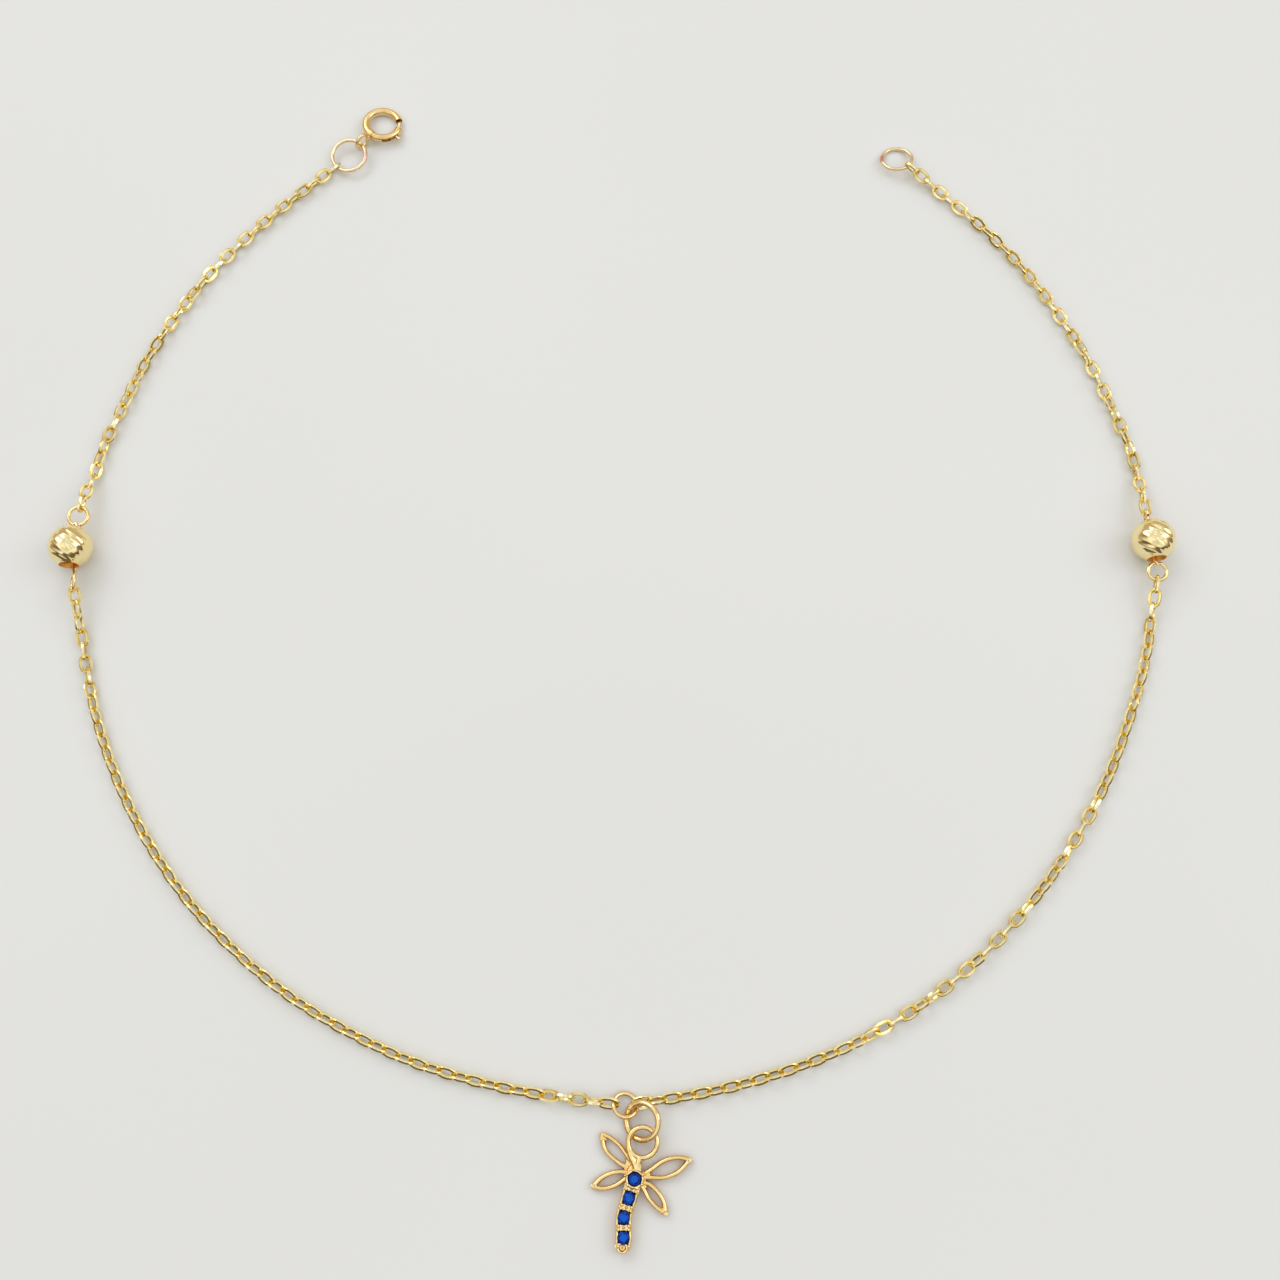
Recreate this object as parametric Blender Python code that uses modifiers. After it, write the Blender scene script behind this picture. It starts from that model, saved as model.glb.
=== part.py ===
"""Charm anklet of fine cable chain, lying open in its loop on a flat surface.

Four strands of oval links run between a spring-ring clasp and its end ring. Each side carries one cut bead
on an eye pin, and the middle carries a palm-tree charm with four blue stones on two jump rings.

Sizes are metres. +Z is up, +Y points to the clasp's end, and the origin is the middle of the footprint on
the surface. Places are written in the layout's own coordinates, and the root empty moves them there.
"""

import math
from dataclasses import dataclass

import bmesh
import bpy
from mathutils import Matrix, Vector

MM = 0.001
WELD = 0.0001 * MM
SMOOTH_UNDER = math.radians(50)  # edges flatter than this are shaded smooth

# The loop as it lies
LOOP_WIDTH = 97.01 * MM  # between the beads' middles
LOOP_DEPTH = 92.76 * MM  # from the centre ring's middle to the clasp's

# Chain
LINK_WIRE = 0.26 * MM
LINK_WIDTH = 1.17 * MM
LINK_PITCH = 1.234 * MM
LINK_FUSE = 0.08 * MM  # neighbours run this far into each other, so that a strand is one body
LINK_SIDES = 10
LINK_WIRE_SIDES = 5
CORE_DIAMETER = 0.90 * MM  # tube that stands for a strand whose links are left to the finish
CORE_STEP = 2.4 * MM
RISE_LENGTH = 4.0 * MM  # a strand climbs from the floor to the eye that holds it over this length
TANGENT_STEP = 0.1 * MM

# Rings and wires
HOOK_GAP = 0.09 * MM  # left between a ring and what is hooked in it
JUMP_SLIT = 0.05 * MM  # cut of a jump ring that is closed but not soldered
RING_SIDES = 16
WIRE_RESOLUTION = 1  # gives a wire 6 sides
TUBE_RESOLUTION = 2  # gives a tube 8 sides

# Beads and their pins
BEAD_DIAMETER = 3.95 * MM
BEAD_BORE = 1.50 * MM
BEAD_MOUTH = 1.62 * MM  # flat round the mouth of the bore
BEAD_SIDES = 12
BEAD_CUTS = 8
BEAD_TWIST = math.radians(75)
PIN_WIRE = 0.35 * MM
PIN_PLAY_GAP = 0.06 * MM
EYE_LEAVE = 0.8  # an eye's wire leaves the stem at this share of the angle that its cut end keeps
EYE_SIDES = 10

# Clasp
CLASP_OUTER = 4.0 * MM
CLASP_TUBE = 0.72 * MM
CLASP_WALL = 0.10 * MM
GATE_START = math.radians(-17)
GATE_END = math.radians(19)
CLASP_STEPS = 32
BORE_OVERRUN = math.radians(9)  # how far the bore's cutter runs past the tube's ends
TONGUE_DIAMETER = 0.38 * MM
TONGUE_SEAT = math.radians(5)  # how far the tongue reaches into the arm across the gate
TONGUE_HIDDEN = math.radians(45)  # how much of it stays in the arm behind the gate
KNOB_ANGLE = math.radians(-44)
KNOB_DIAMETER = 0.46 * MM
KNOB_GAP = 0.06 * MM
STUB_DIAMETER = 0.24 * MM
SLOT_WIDTH = 0.38 * MM
SLOT_STEPS = 8
TRIGGER_TRAVEL = math.radians(38)
TAIL_OUTER = 1.90 * MM
TAIL_WIRE = 0.34 * MM
TAIL_SOLDER = 0.12 * MM
TAIL_SLACK = 0.12 * MM
TAIL_HEADING = math.radians(229.5)
COLLAR_DIAMETER = 0.92 * MM
COLLAR_SWEEP = math.radians(16)
COLLAR_STEPS = 2

# Charm
CROWN_DIAMETER = 1.44 * MM
CROWN_TOP = 1.12 * MM
TRUNK_LENGTH = 5.0 * MM
TRUNK_WIDTH = 1.30 * MM
TRUNK_TOP = 1.0 * MM
TRUNK_STEPS = 3
FOOT_SIDES = 8
BACK_STEP = 0.05 * MM  # backs of the joined shapes differ by this, so that no two faces coincide
LEAF_LENGTH = 4.0 * MM
LEAF_THICKNESS = 0.50 * MM
LEAF_RIM = 0.30 * MM
LEAF_SLIT = 0.15  # narrowest half-width of a leaf's opening, as a share of the leaf's
LEAF_STEPS = 8
LOOP_OUTER = 2.75 * MM
LOOP_WIRE = 0.38 * MM
LOOP_ACROSS = 0.65 * MM  # from the crown's middle to the loop's
LOOP_RISE = 2.82 * MM
POST_DIAMETER = 0.62 * MM
POST_ROOT = 0.36 * MM  # from the crown's middle to where the loop's post starts
STONE_DIAMETER = 1.04 * MM
STONE_TABLE = 0.56  # table across, as a share of the stone
STONE_CROWN = 0.17  # girdle to table
STONE_PAVILION = 0.42  # girdle to point
STONE_SIDES = 12
STONE_GAP = 0.035 * MM
PRONG_DIAMETER = 0.30 * MM
FOOT_DIMPLE = 0.40 * MM
DIMPLE_DEPTH = 0.30 * MM
DIMPLE_SIDES = 10


def on_floor(across, along):
    """A place on the floor, in shares of half the loop's width and of half its depth."""
    return Vector((across * LOOP_WIDTH / 2, along * LOOP_DEPTH / 2))


@dataclass(frozen=True)
class Ring:
    """A wire ring that leans on the floor: its tilt, and the heading of the side that is raised."""

    outer: float
    wire: float
    tilt: float = 0.0
    raised: float = 0.0

    @property
    def radius(self):
        """Radius of the wire's middle line."""
        return (self.outer - self.wire) / 2

    @property
    def inner(self):
        return self.outer / 2 - self.wire

    @property
    def rest_height(self):
        """Height of the centre when the low side of the ring touches the floor."""
        return self.radius * math.sin(self.tilt) + self.wire / 2

    def height_at(self, centre, place):
        """Height of the ring's plane over a place on the floor."""
        away = place.xy - centre.xy
        slope = math.tan(self.tilt) * Vector((math.cos(self.raised), math.sin(self.raised)))
        return centre.z + away.dot(slope)


@dataclass(frozen=True)
class Eye:
    """One end of an eye pin: its outer size, its distance from the bead's middle and its roll from flat."""

    outer: float
    reach: float
    roll: float

    @property
    def radius(self):
        return (self.outer - PIN_WIRE) / 2

    @property
    def inner(self):
        return self.outer / 2 - PIN_WIRE


@dataclass(frozen=True)
class Bead:
    """A bead's place, the heading of its pin and the side of the bore that the pin lies against."""

    place: Vector
    heading: float
    lean: float
    upper: Eye
    lower: Eye

    @property
    def along(self):
        return Vector((math.cos(self.heading), math.sin(self.heading), 0))

    @property
    def centre(self):
        return Vector((self.place.x, self.place.y, BEAD_DIAMETER / 2))

    @property
    def pin_middle(self):
        """Middle of the pin, which lies against one side of the bore."""
        play = (BEAD_BORE - PIN_WIRE) / 2 - PIN_PLAY_GAP
        across = Vector((math.sin(self.heading), -math.cos(self.heading), 0))
        return self.centre + play * (math.cos(self.lean) * across + math.sin(self.lean) * Vector((0, 0, 1)))

    @property
    def upper_centre(self):
        return self.pin_middle + self.upper.reach * self.along

    @property
    def lower_centre(self):
        return self.pin_middle - self.lower.reach * self.along


CLASP_RING = Ring(outer=3.66 * MM, wire=0.38 * MM)
END_RING = Ring(outer=3.27 * MM, wire=0.36 * MM, tilt=math.radians(16), raised=math.radians(-75))
CENTRE_RING = Ring(outer=2.35 * MM, wire=0.36 * MM, tilt=math.radians(22), raised=math.radians(-125))
CHARM_RING = Ring(outer=3.40 * MM, wire=0.45 * MM, tilt=math.radians(29), raised=math.radians(16))
CHARM_LOOP = Ring(outer=LOOP_OUTER, wire=LOOP_WIRE)
CLASP_LOOP = Ring(outer=CLASP_OUTER, wire=CLASP_TUBE)
TAIL_LOOP = Ring(outer=TAIL_OUTER, wire=TAIL_WIRE)

LEFT_BEAD = Bead(
    place=on_floor(-0.9989, 0.1324),
    heading=math.radians(91.8),
    lean=math.radians(-40),
    upper=Eye(outer=2.10 * MM, reach=3.02 * MM, roll=0),
    lower=Eye(outer=2.10 * MM, reach=3.28 * MM, roll=math.radians(65)),
)
RIGHT_BEAD = Bead(
    place=on_floor(1.0011, 0.1458),
    heading=math.radians(95.1),
    lean=math.radians(-90),
    upper=Eye(outer=1.15 * MM, reach=2.62 * MM, roll=math.radians(90)),
    lower=Eye(outer=2.00 * MM, reach=2.82 * MM, roll=0),
)

# Where the fixed pieces lie, and how the charm hangs from the centre ring
CLASP_PLACE = on_floor(-0.4701, 1.0975)
END_RING_PLACE = on_floor(0.5703, 1.0132)
CENTRE_RING_PLACE = on_floor(0.0278, -0.9025)
CHARM_RING_HEADING = math.radians(-42.6)  # from the centre ring's middle
CHARM_RING_SLACK = 0.215 * MM  # how far the two rings lie short of taut
CHARM_LOOP_HEADING = math.radians(-88)  # from the charm ring's middle
CHARM_LOOP_SLACK = 0.606 * MM
CLASP_RING_SLIT = math.radians(-60)
CHARM_RING_SLIT = math.radians(140)

# Routes of the strands over the floor, between the rings that hold them, in shares as for on_floor
ROUTES = {
    "chain_upper_left": (
        (-0.645, 0.914), (-0.722, 0.832), (-0.790, 0.746), (-0.849, 0.651), (-0.899, 0.552), (-0.936, 0.448),
        (-0.969, 0.343),
    ),
    "chain_lower_left": (
        (-0.961, -0.080), (-0.924, -0.211), (-0.872, -0.334), (-0.808, -0.446), (-0.732, -0.548),
        (-0.643, -0.638), (-0.548, -0.714), (-0.445, -0.776), (-0.338, -0.826), (-0.229, -0.860),
        (-0.115, -0.884),
    ),
    "chain_lower_right": (
        (0.165, -0.880), (0.274, -0.852), (0.381, -0.813), (0.484, -0.761), (0.581, -0.696), (0.670, -0.617),
        (0.752, -0.526), (0.825, -0.425), (0.887, -0.315), (0.938, -0.194), (0.979, -0.067),
    ),
    "chain_upper_right": (
        (0.988, 0.326), (0.959, 0.431), (0.922, 0.537), (0.876, 0.636), (0.821, 0.733), (0.755, 0.824),
        (0.680, 0.906),
    ),
}  # fmt: skip

# How a strand twists beyond a quarter turn a link: (share of the strand, degrees)
TWISTS = {
    "chain_upper_left": ((0, 60), (0.09, 90), (0.38, 90), (0.47, 180), (0.76, 180), (0.85, 270), (1, 360)),
    "chain_upper_right": (
        (0, 0), (0.12, 0), (0.21, 90), (0.30, 180), (0.36, 180), (0.45, 270), (0.75, 270), (1, 330),
    ),
}  # fmt: skip
# Roll from flat that the last link ends at, where it passes through its eye or ring
END_ROLLS = {"chain_upper_left": 90, "chain_upper_right": 78}


@dataclass(frozen=True)
class Leaf:
    """A leaf of the charm. Lengths are shares of LEAF_LENGTH, angles are degrees from +X."""

    root_heading: float
    root: float
    heading: float
    length: float
    width: float
    bend: float


LEAVES = (
    Leaf(root_heading=115, root=0.12, heading=127, length=0.93, width=0.36, bend=8),
    Leaf(root_heading=150, root=0.10, heading=165, length=0.86, width=0.29, bend=48),
    Leaf(root_heading=20, root=0.12, heading=28, length=1.12, width=0.42, bend=-22),
    Leaf(root_heading=-30, root=0.10, heading=-28, length=0.80, width=0.26, bend=-42),
)
# Half-width of a leaf along its length: (share of the length, share of the half-width)
LEAF_PROFILE = ((0.0, 0.42), (0.22, 0.80), (0.50, 1.0), (0.78, 0.88), (1.0, 0.40))
# Middle line of the trunk from the crown down: (share across, share down, holds a stone)
TRUNK_LINE = ((0.0, 0.0, True), (-0.092, -0.288, True), (-0.174, -0.582, True), (-0.176, -0.888, True),
              (-0.190, -1.0, False))  # fmt: skip


def polar(radius, angle):
    return Vector((radius * math.cos(angle), radius * math.sin(angle), 0))


def smooth_through(points, steps=12):
    """A dense Catmull-Rom line through the points, ends included."""
    padded = [2 * points[0] - points[1], *points, 2 * points[-1] - points[-2]]
    line = []
    for p0, p1, p2, p3 in zip(padded, padded[1:], padded[2:], padded[3:]):
        for step in range(steps):
            t = step / steps
            line.append(
                0.5 * (2 * p1 + (p2 - p0) * t + (2 * p0 - 5 * p1 + 4 * p2 - p3) * t**2
                       + (3 * p1 - p0 - 3 * p2 + p3) * t**3)
            )  # fmt: skip
    return [*line, points[-1].copy()]


def interpolate(table, x):
    """The value of a short (x, value) table at x, in straight runs."""
    for (x0, y0), (x1, y1) in zip(table, table[1:]):
        if x <= x1:
            return y0 + (y1 - y0) * (x - x0) / (x1 - x0)
    return table[-1][1]


@dataclass(frozen=True)
class Hook:
    """What holds the end of a strand: its middle, at the strand's height there, and its inner radius."""

    place: Vector
    inner: float


class Route:
    """A strand's middle line: a smooth floor route that climbs at each end to what holds it."""

    def __init__(self, start, end, floor_points, floor_height):
        self.start, self.end = start, end
        self.floor_height = floor_height
        stops = [start.place.xy, *(on_floor(x, y) for x, y in floor_points), end.place.xy]
        self.line = smooth_through([stop.to_3d() for stop in stops])
        self.lengths = [0.0]
        for a, b in zip(self.line, self.line[1:]):
            self.lengths.append(self.lengths[-1] + (b - a).length)
        self.length = self.lengths[-1]

    def climb(self, distance, hook):
        """Height above the floor line, level as far as the first link and then falling smoothly."""
        share = 1 - (distance - hook.inner - LINK_PITCH / 2) / RISE_LENGTH
        share = min(max(share, 0.0), 1.0)
        return (hook.place.z - self.floor_height) * share * share * (3 - 2 * share)

    def place(self, distance):
        distance = min(max(distance, 0.0), self.length)
        index = next(i for i, length in enumerate(self.lengths[1:]) if distance <= length)
        a, b = self.line[index], self.line[index + 1]
        share = (distance - self.lengths[index]) / (self.lengths[index + 1] - self.lengths[index])
        point = a.lerp(b, share)
        climbs = self.climb(distance, self.start) + self.climb(self.length - distance, self.end)
        point.z = self.floor_height + climbs
        return point

    def tangent(self, distance):
        return (self.place(distance + TANGENT_STEP) - self.place(distance - TANGENT_STEP)).normalized()


class Workshop:
    """Makes objects in the right collection, under the root empty."""

    def __init__(self):
        for obj in list(bpy.data.objects):
            bpy.data.objects.remove(obj, do_unlink=True)
        self.pieces = self._collection("charm_anklet")
        self.cutters = self._collection("cutters")
        self.root = bpy.data.objects.new("anklet_root", None)
        self.root.location = -footprint_middle()
        self.pieces.objects.link(self.root)

    @staticmethod
    def _collection(name):
        collection = bpy.data.collections.new(name)
        bpy.context.scene.collection.children.link(collection)
        return collection

    def piece(self, name, data, matrix=None, parent=None):
        obj = bpy.data.objects.new(name, data)
        self.pieces.objects.link(obj)
        obj.parent = parent or self.root
        obj.matrix_local = matrix or Matrix()
        return obj

    def cutter(self, obj):
        """Moves an object that only cuts or joins out of the model."""
        self.pieces.objects.unlink(obj)
        self.cutters.objects.link(obj)
        obj.hide_render = True
        obj.display_type = "WIRE"
        return obj

    def combine(self, target, other, operation):
        modifier = target.modifiers.new(f"{operation.lower()} {other.name}", "BOOLEAN")
        modifier.operation = operation
        modifier.solver = "EXACT"
        modifier.object = self.cutter(other)


def footprint_middle():
    """Middle of the footprint in the layout: beads at the sides, clasp and charm foot at the ends."""
    far = CLASP_PLACE.y + CLASP_OUTER / 2
    near = crown_place().y - TRUNK_LENGTH - TRUNK_WIDTH / 2
    return Vector(((LEFT_BEAD.place.x + RIGHT_BEAD.place.x) / 2, (far + near) / 2, 0))


def finish(obj, name, colour, roughness, metallic=1.0):
    """Gives the piece its own material and shades its round faces smooth."""
    made = bpy.data.materials.new(f"{name}_finish")
    made.use_nodes = True
    shader = made.node_tree.nodes["Principled BSDF"]
    shader.inputs["Base Color"].default_value = (*colour, 1)
    shader.inputs["Roughness"].default_value = roughness
    shader.inputs["Metallic"].default_value = metallic
    obj.data.materials.clear()
    obj.data.materials.append(made)
    return obj


def chain_gold(obj, name):
    return finish(obj, name, colour=(0.86, 0.70, 0.34), roughness=0.22)


def ring_gold(obj, name):
    return finish(obj, name, colour=(0.90, 0.64, 0.32), roughness=0.18)


def clasp_gold(obj, name):
    return finish(obj, name, colour=(0.83, 0.58, 0.24), roughness=0.20)


def bead_gold(obj, name):
    return finish(obj, name, colour=(0.95, 0.80, 0.45), roughness=0.12)


def stone_blue(obj, name):
    return finish(obj, name, colour=(0.01, 0.06, 0.55), roughness=0.05, metallic=0.0)


def wire(shop, name, points, diameter, resolution=WIRE_RESOLUTION, closed=False, parent=None, matrix=None):
    """A round wire along the points, as a mesh whose caps are welded."""
    curve = bpy.data.curves.new(name, "CURVE")
    curve.dimensions = "3D"
    curve.bevel_depth = diameter / 2
    curve.bevel_resolution = resolution
    curve.use_fill_caps = not closed
    spline = curve.splines.new("POLY")
    spline.points.add(len(points) - 1)
    for target, point in zip(spline.points, points):
        target.co = (*point, 1)
    spline.use_cyclic_u = closed
    return as_mesh(shop, name, curve, parent, matrix)


def as_mesh(shop, name, curve, parent=None, matrix=None):
    """The mesh of a curve's evaluated shape, with its loose caps welded."""
    guide = shop.piece(f"{name}_guide", curve)
    bpy.context.view_layer.update()
    mesh = bpy.data.meshes.new_from_object(guide.evaluated_get(bpy.context.evaluated_depsgraph_get()))
    bpy.data.objects.remove(guide, do_unlink=True)
    bpy.data.curves.remove(curve)
    mesh.name = name
    shape = bmesh.new()
    shape.from_mesh(mesh)
    bmesh.ops.remove_doubles(shape, verts=shape.verts, dist=WELD)
    bmesh.ops.recalc_face_normals(shape, faces=shape.faces)
    shape.to_mesh(mesh)
    shape.free()
    mesh.shade_smooth()
    mesh.set_sharp_from_angle(angle=SMOOTH_UNDER)
    return shop.piece(name, mesh, matrix, parent)


def arc(radius, start, end, steps):
    """Points of an arc about the origin, ends included."""
    return [polar(radius, start + (end - start) * i / steps) for i in range(steps + 1)]


def lying(centre, ring):
    """The pose of a ring with its tilt, raised towards its heading."""
    lean_axis = Vector((math.sin(ring.raised), -math.cos(ring.raised), 0))
    return Matrix.Translation(centre) @ Matrix.Rotation(ring.tilt, 4, lean_axis)


def round_ring(shop, name, ring, matrix, slit_heading=None, parent=None):
    """A wire ring: soldered shut, or cut at the heading given."""
    if slit_heading is None:
        points = arc(ring.radius, 0, math.tau, RING_SIDES)[:-1]
        return wire(shop, name, points, ring.wire, closed=True, parent=parent, matrix=matrix)
    half_slit = math.asin(JUMP_SLIT / 2 / ring.radius)
    points = arc(ring.radius, slit_heading + half_slit, slit_heading + math.tau - half_slit, RING_SIDES)
    return wire(shop, name, points, ring.wire, parent=parent, matrix=matrix)


def link_mesh(length):
    """One oval link: a torus whose halves are moved apart."""
    bpy.ops.mesh.primitive_torus_add(
        major_segments=LINK_SIDES,
        minor_segments=LINK_WIRE_SIDES,
        major_radius=(LINK_WIDTH - LINK_WIRE) / 2,
        minor_radius=LINK_WIRE / 2,
    )
    made = bpy.context.object
    mesh = made.data
    bpy.data.objects.remove(made, do_unlink=True)
    straight = length - LINK_WIDTH
    for vertex in mesh.vertices:
        vertex.co.x += math.copysign(straight / 2, vertex.co.x)
    return mesh


def link_pose(route, distance, roll):
    """Pose of a link on the route, its length along the route and rolled from flat."""
    forward = route.tangent(distance)
    side = Vector((0, 0, 1)).cross(forward).normalized()
    up = forward.cross(side)
    turn = Matrix((forward, side, up)).transposed().to_4x4()
    return Matrix.Translation(route.place(distance)) @ turn @ Matrix.Rotation(roll, 4, "X")


def link_rolls(name, count):
    """Roll of each link: a quarter turn a link and the strand's own twist, eased so that the last fits."""
    table = TWISTS[name]
    missed = END_ROLLS[name] - table[-1][1] - 90 * (count - 1)
    ease = (missed + 90) % 180 - 90
    shares = [number / (count - 1) for number in range(count)]
    twists = [interpolate(table, share) + ease * share for share in shares]
    return [math.radians(90 * number + twist) for number, twist in enumerate(twists)]


def linked_chain(shop, name, start, end):
    """A strand of real links: the even ones are joined to the odd ones into one body."""
    route = Route(start, end, ROUTES[name], LINK_WIDTH / 2)
    reach = LINK_PITCH / 2 - LINK_FUSE / 2 - HOOK_GAP  # from a link's middle to the inside of its end
    first = start.inner + reach
    last = route.length - end.inner - reach
    count = round((last - first) / LINK_PITCH) + 1
    pitch = (last - first) / (count - 1)
    rolls = link_rolls(name, count)
    template = link_mesh(pitch + 2 * LINK_WIRE - LINK_FUSE)
    halves = []
    for parity, half_name in enumerate((name, f"{name}_odd_links")):
        shape = bmesh.new()
        for number in range(parity, count, 2):
            before = len(shape.verts)
            shape.from_mesh(template)
            shape.verts.ensure_lookup_table()
            pose = link_pose(route, first + number * pitch, rolls[number])
            bmesh.ops.transform(shape, matrix=pose, verts=shape.verts[before:])
        mesh = bpy.data.meshes.new(half_name)
        shape.to_mesh(mesh)
        shape.free()
        halves.append(shop.piece(half_name, mesh))
    bpy.data.meshes.remove(template)
    shop.combine(halves[0], halves[1], "UNION")
    return halves[0]


def chain_core(shop, name, start, end, keep_clear):
    """The tube of a strand whose links are left to the finish. It stops clear of the rings at its ends."""
    route = Route(start, end, ROUTES[name], CORE_DIAMETER / 2)

    def clear(distance):
        place = route.place(distance)
        return all((place.xy - centre.xy).length > outer / 2 + CORE_DIAMETER / 2 + HOOK_GAP
                   for centre, outer in keep_clear)  # fmt: skip

    step = HOOK_GAP
    first, last = 0.0, route.length
    while not clear(first):
        first += step
    while not clear(last):
        last -= step
    runs = round((last - first) / CORE_STEP)
    points = [route.place(first + (last - first) * i / runs) for i in range(runs + 1)]
    return wire(shop, name, points, CORE_DIAMETER, TUBE_RESOLUTION)


def bead(shop, name, spec):
    """A drilled bead: a turned profile whose cuts run in spirals, with a small flat round each mouth."""
    mouth = math.asin(BEAD_MOUTH / BEAD_DIAMETER)
    sweep = math.pi - 2 * mouth
    outside = arc(BEAD_DIAMETER / 2, math.pi / 2 - mouth, math.pi / 2 - mouth - sweep, BEAD_CUTS)
    corners = [(0, 0, outside[0].y), *((point.x, 0, point.y) for point in outside), (0, 0, outside[-1].y)]
    mesh = bpy.data.meshes.new(name)
    mesh.from_pydata(corners, [(i, i + 1) for i in range(len(corners) - 1)], [])
    pose = Matrix.Translation(spec.centre) @ spec.along.to_track_quat("Z", "Y").to_matrix().to_4x4()
    obj = shop.piece(name, mesh, pose)
    screw = obj.modifiers.new("turned profile", "SCREW")
    screw.steps = screw.render_steps = BEAD_SIDES
    screw.use_merge_vertices = True
    screw.merge_threshold = WELD
    screw.use_smooth_shade = False
    twist = obj.modifiers.new("spiral cuts", "SIMPLE_DEFORM")
    twist.deform_method = "TWIST"
    twist.deform_axis = "Z"
    twist.angle = BEAD_TWIST
    bore = round_bar(shop, f"{name}_bore", BEAD_BORE, 2 * BEAD_DIAMETER, pose, BEAD_SIDES)
    shop.combine(obj, bore, "DIFFERENCE")
    return obj


def round_bar(shop, name, diameter, length, pose, sides=RING_SIDES):
    """A round bar along its pose's Z axis."""
    shape = bmesh.new()
    bmesh.ops.create_cone(
        shape, cap_ends=True, segments=sides, radius1=diameter / 2, radius2=diameter / 2, depth=length
    )
    mesh = bpy.data.meshes.new(name)
    shape.to_mesh(mesh)
    shape.free()
    return shop.piece(name, mesh, pose)


def eye_points(eye):
    """Wire of one eye in its own plane, from where it leaves the stem to its cut end. The stem is at -X."""
    opening = math.asin(min(1.0, (PIN_WIRE + JUMP_SLIT) / eye.radius))
    leave = math.pi - opening * EYE_LEAVE
    return arc(eye.radius, leave, opening - math.pi, EYE_SIDES)


def bead_pin(shop, name, spec):
    """The wire through a bead, turned to an eye at each end."""
    frame = Matrix.Translation(spec.pin_middle) @ Matrix.Rotation(spec.heading, 4, "Z")
    points = []
    for eye, side in ((spec.upper, 1), (spec.lower, -1)):
        turn = Matrix.Rotation(eye.roll, 4, "X")
        mirror = Matrix.Rotation(0 if side > 0 else math.pi, 4, "Z")
        made = [mirror @ turn @ (point + Vector((eye.reach, 0, 0))) for point in eye_points(eye)]
        stem_end = Vector((side * (eye.reach - eye.radius - PIN_WIRE / 2), 0, 0))
        points += [*reversed(made), stem_end] if side > 0 else [stem_end, *made]
    return wire(shop, name, points, PIN_WIRE, matrix=frame)


def tail_reach():
    """From the clasp's middle to the middle of its tail loop."""
    return CLASP_OUTER / 2 + TAIL_OUTER / 2 - TAIL_SOLDER


def clasp_pose():
    """The clasp lies on the side away from its tail and on the tail loop, which stands upright."""
    lean = math.asin((TAIL_OUTER - CLASP_TUBE) / 2 / (tail_reach() + CLASP_LOOP.radius))
    pose = Ring(CLASP_OUTER, CLASP_TUBE, tilt=lean, raised=TAIL_HEADING)
    return lying(Vector((*CLASP_PLACE, pose.rest_height)), pose)


def clasp_ring_centre():
    """The clasp's jump ring hangs taut in the tail loop, level with the chain at its other side."""
    reach = tail_reach() + TAIL_LOOP.inner - CLASP_RING.wire - TAIL_SLACK + CLASP_RING.outer / 2
    middle = CLASP_PLACE.to_3d() + polar(reach, TAIL_HEADING)
    middle.z = (TAIL_OUTER / 2 + LINK_WIDTH / 2) / 2
    return middle


def leaning_clasp_ring():
    """The clasp's jump ring, leaning from the tail loop down to the chain."""
    drop = (TAIL_OUTER - LINK_WIDTH) / 2
    tilt = math.asin(drop / 2 / CLASP_RING.radius)
    return Ring(CLASP_RING.outer, CLASP_RING.wire, tilt, raised=TAIL_HEADING + math.pi)


def clasp_body(shop, clasp):
    """Hollow C-shaped tube with a slot for the knob, a collar and the soldered tail loop."""
    radius = CLASP_LOOP.radius

    def bent(name, at, start, end, steps, diameter):
        return wire(shop, name, arc(at, start, end, steps), diameter, TUBE_RESOLUTION, parent=clasp)

    body = bent("clasp_body", radius, GATE_END, GATE_START + math.tau, CLASP_STEPS, CLASP_TUBE)
    collar = bent("clasp_collar", radius, TAIL_HEADING - COLLAR_SWEEP / 2, TAIL_HEADING + COLLAR_SWEEP / 2,
                  COLLAR_STEPS, COLLAR_DIAMETER)  # fmt: skip
    upright = (
        Matrix.Translation(polar(tail_reach(), TAIL_HEADING))
        @ Matrix.Rotation(TAIL_HEADING, 4, "Z")
        @ Matrix.Rotation(math.pi / 2, 4, "X")
    )
    tail = round_ring(shop, "clasp_tail_loop", TAIL_LOOP, upright, parent=clasp)
    bore = bent("clasp_bore", radius, GATE_END - BORE_OVERRUN, GATE_START + math.tau + BORE_OVERRUN,
                CLASP_STEPS, CLASP_TUBE - 2 * CLASP_WALL)  # fmt: skip
    knob_play = math.asin(SLOT_WIDTH / 2 / radius)
    slot = bent("clasp_slot", CLASP_OUTER / 2 - CLASP_WALL, KNOB_ANGLE - TRIGGER_TRAVEL - knob_play,
                KNOB_ANGLE + knob_play, SLOT_STEPS, SLOT_WIDTH)  # fmt: skip
    shop.combine(body, collar, "UNION")
    shop.combine(body, tail, "UNION")
    shop.combine(body, bore, "DIFFERENCE")
    shop.combine(body, slot, "DIFFERENCE")
    return body


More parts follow.
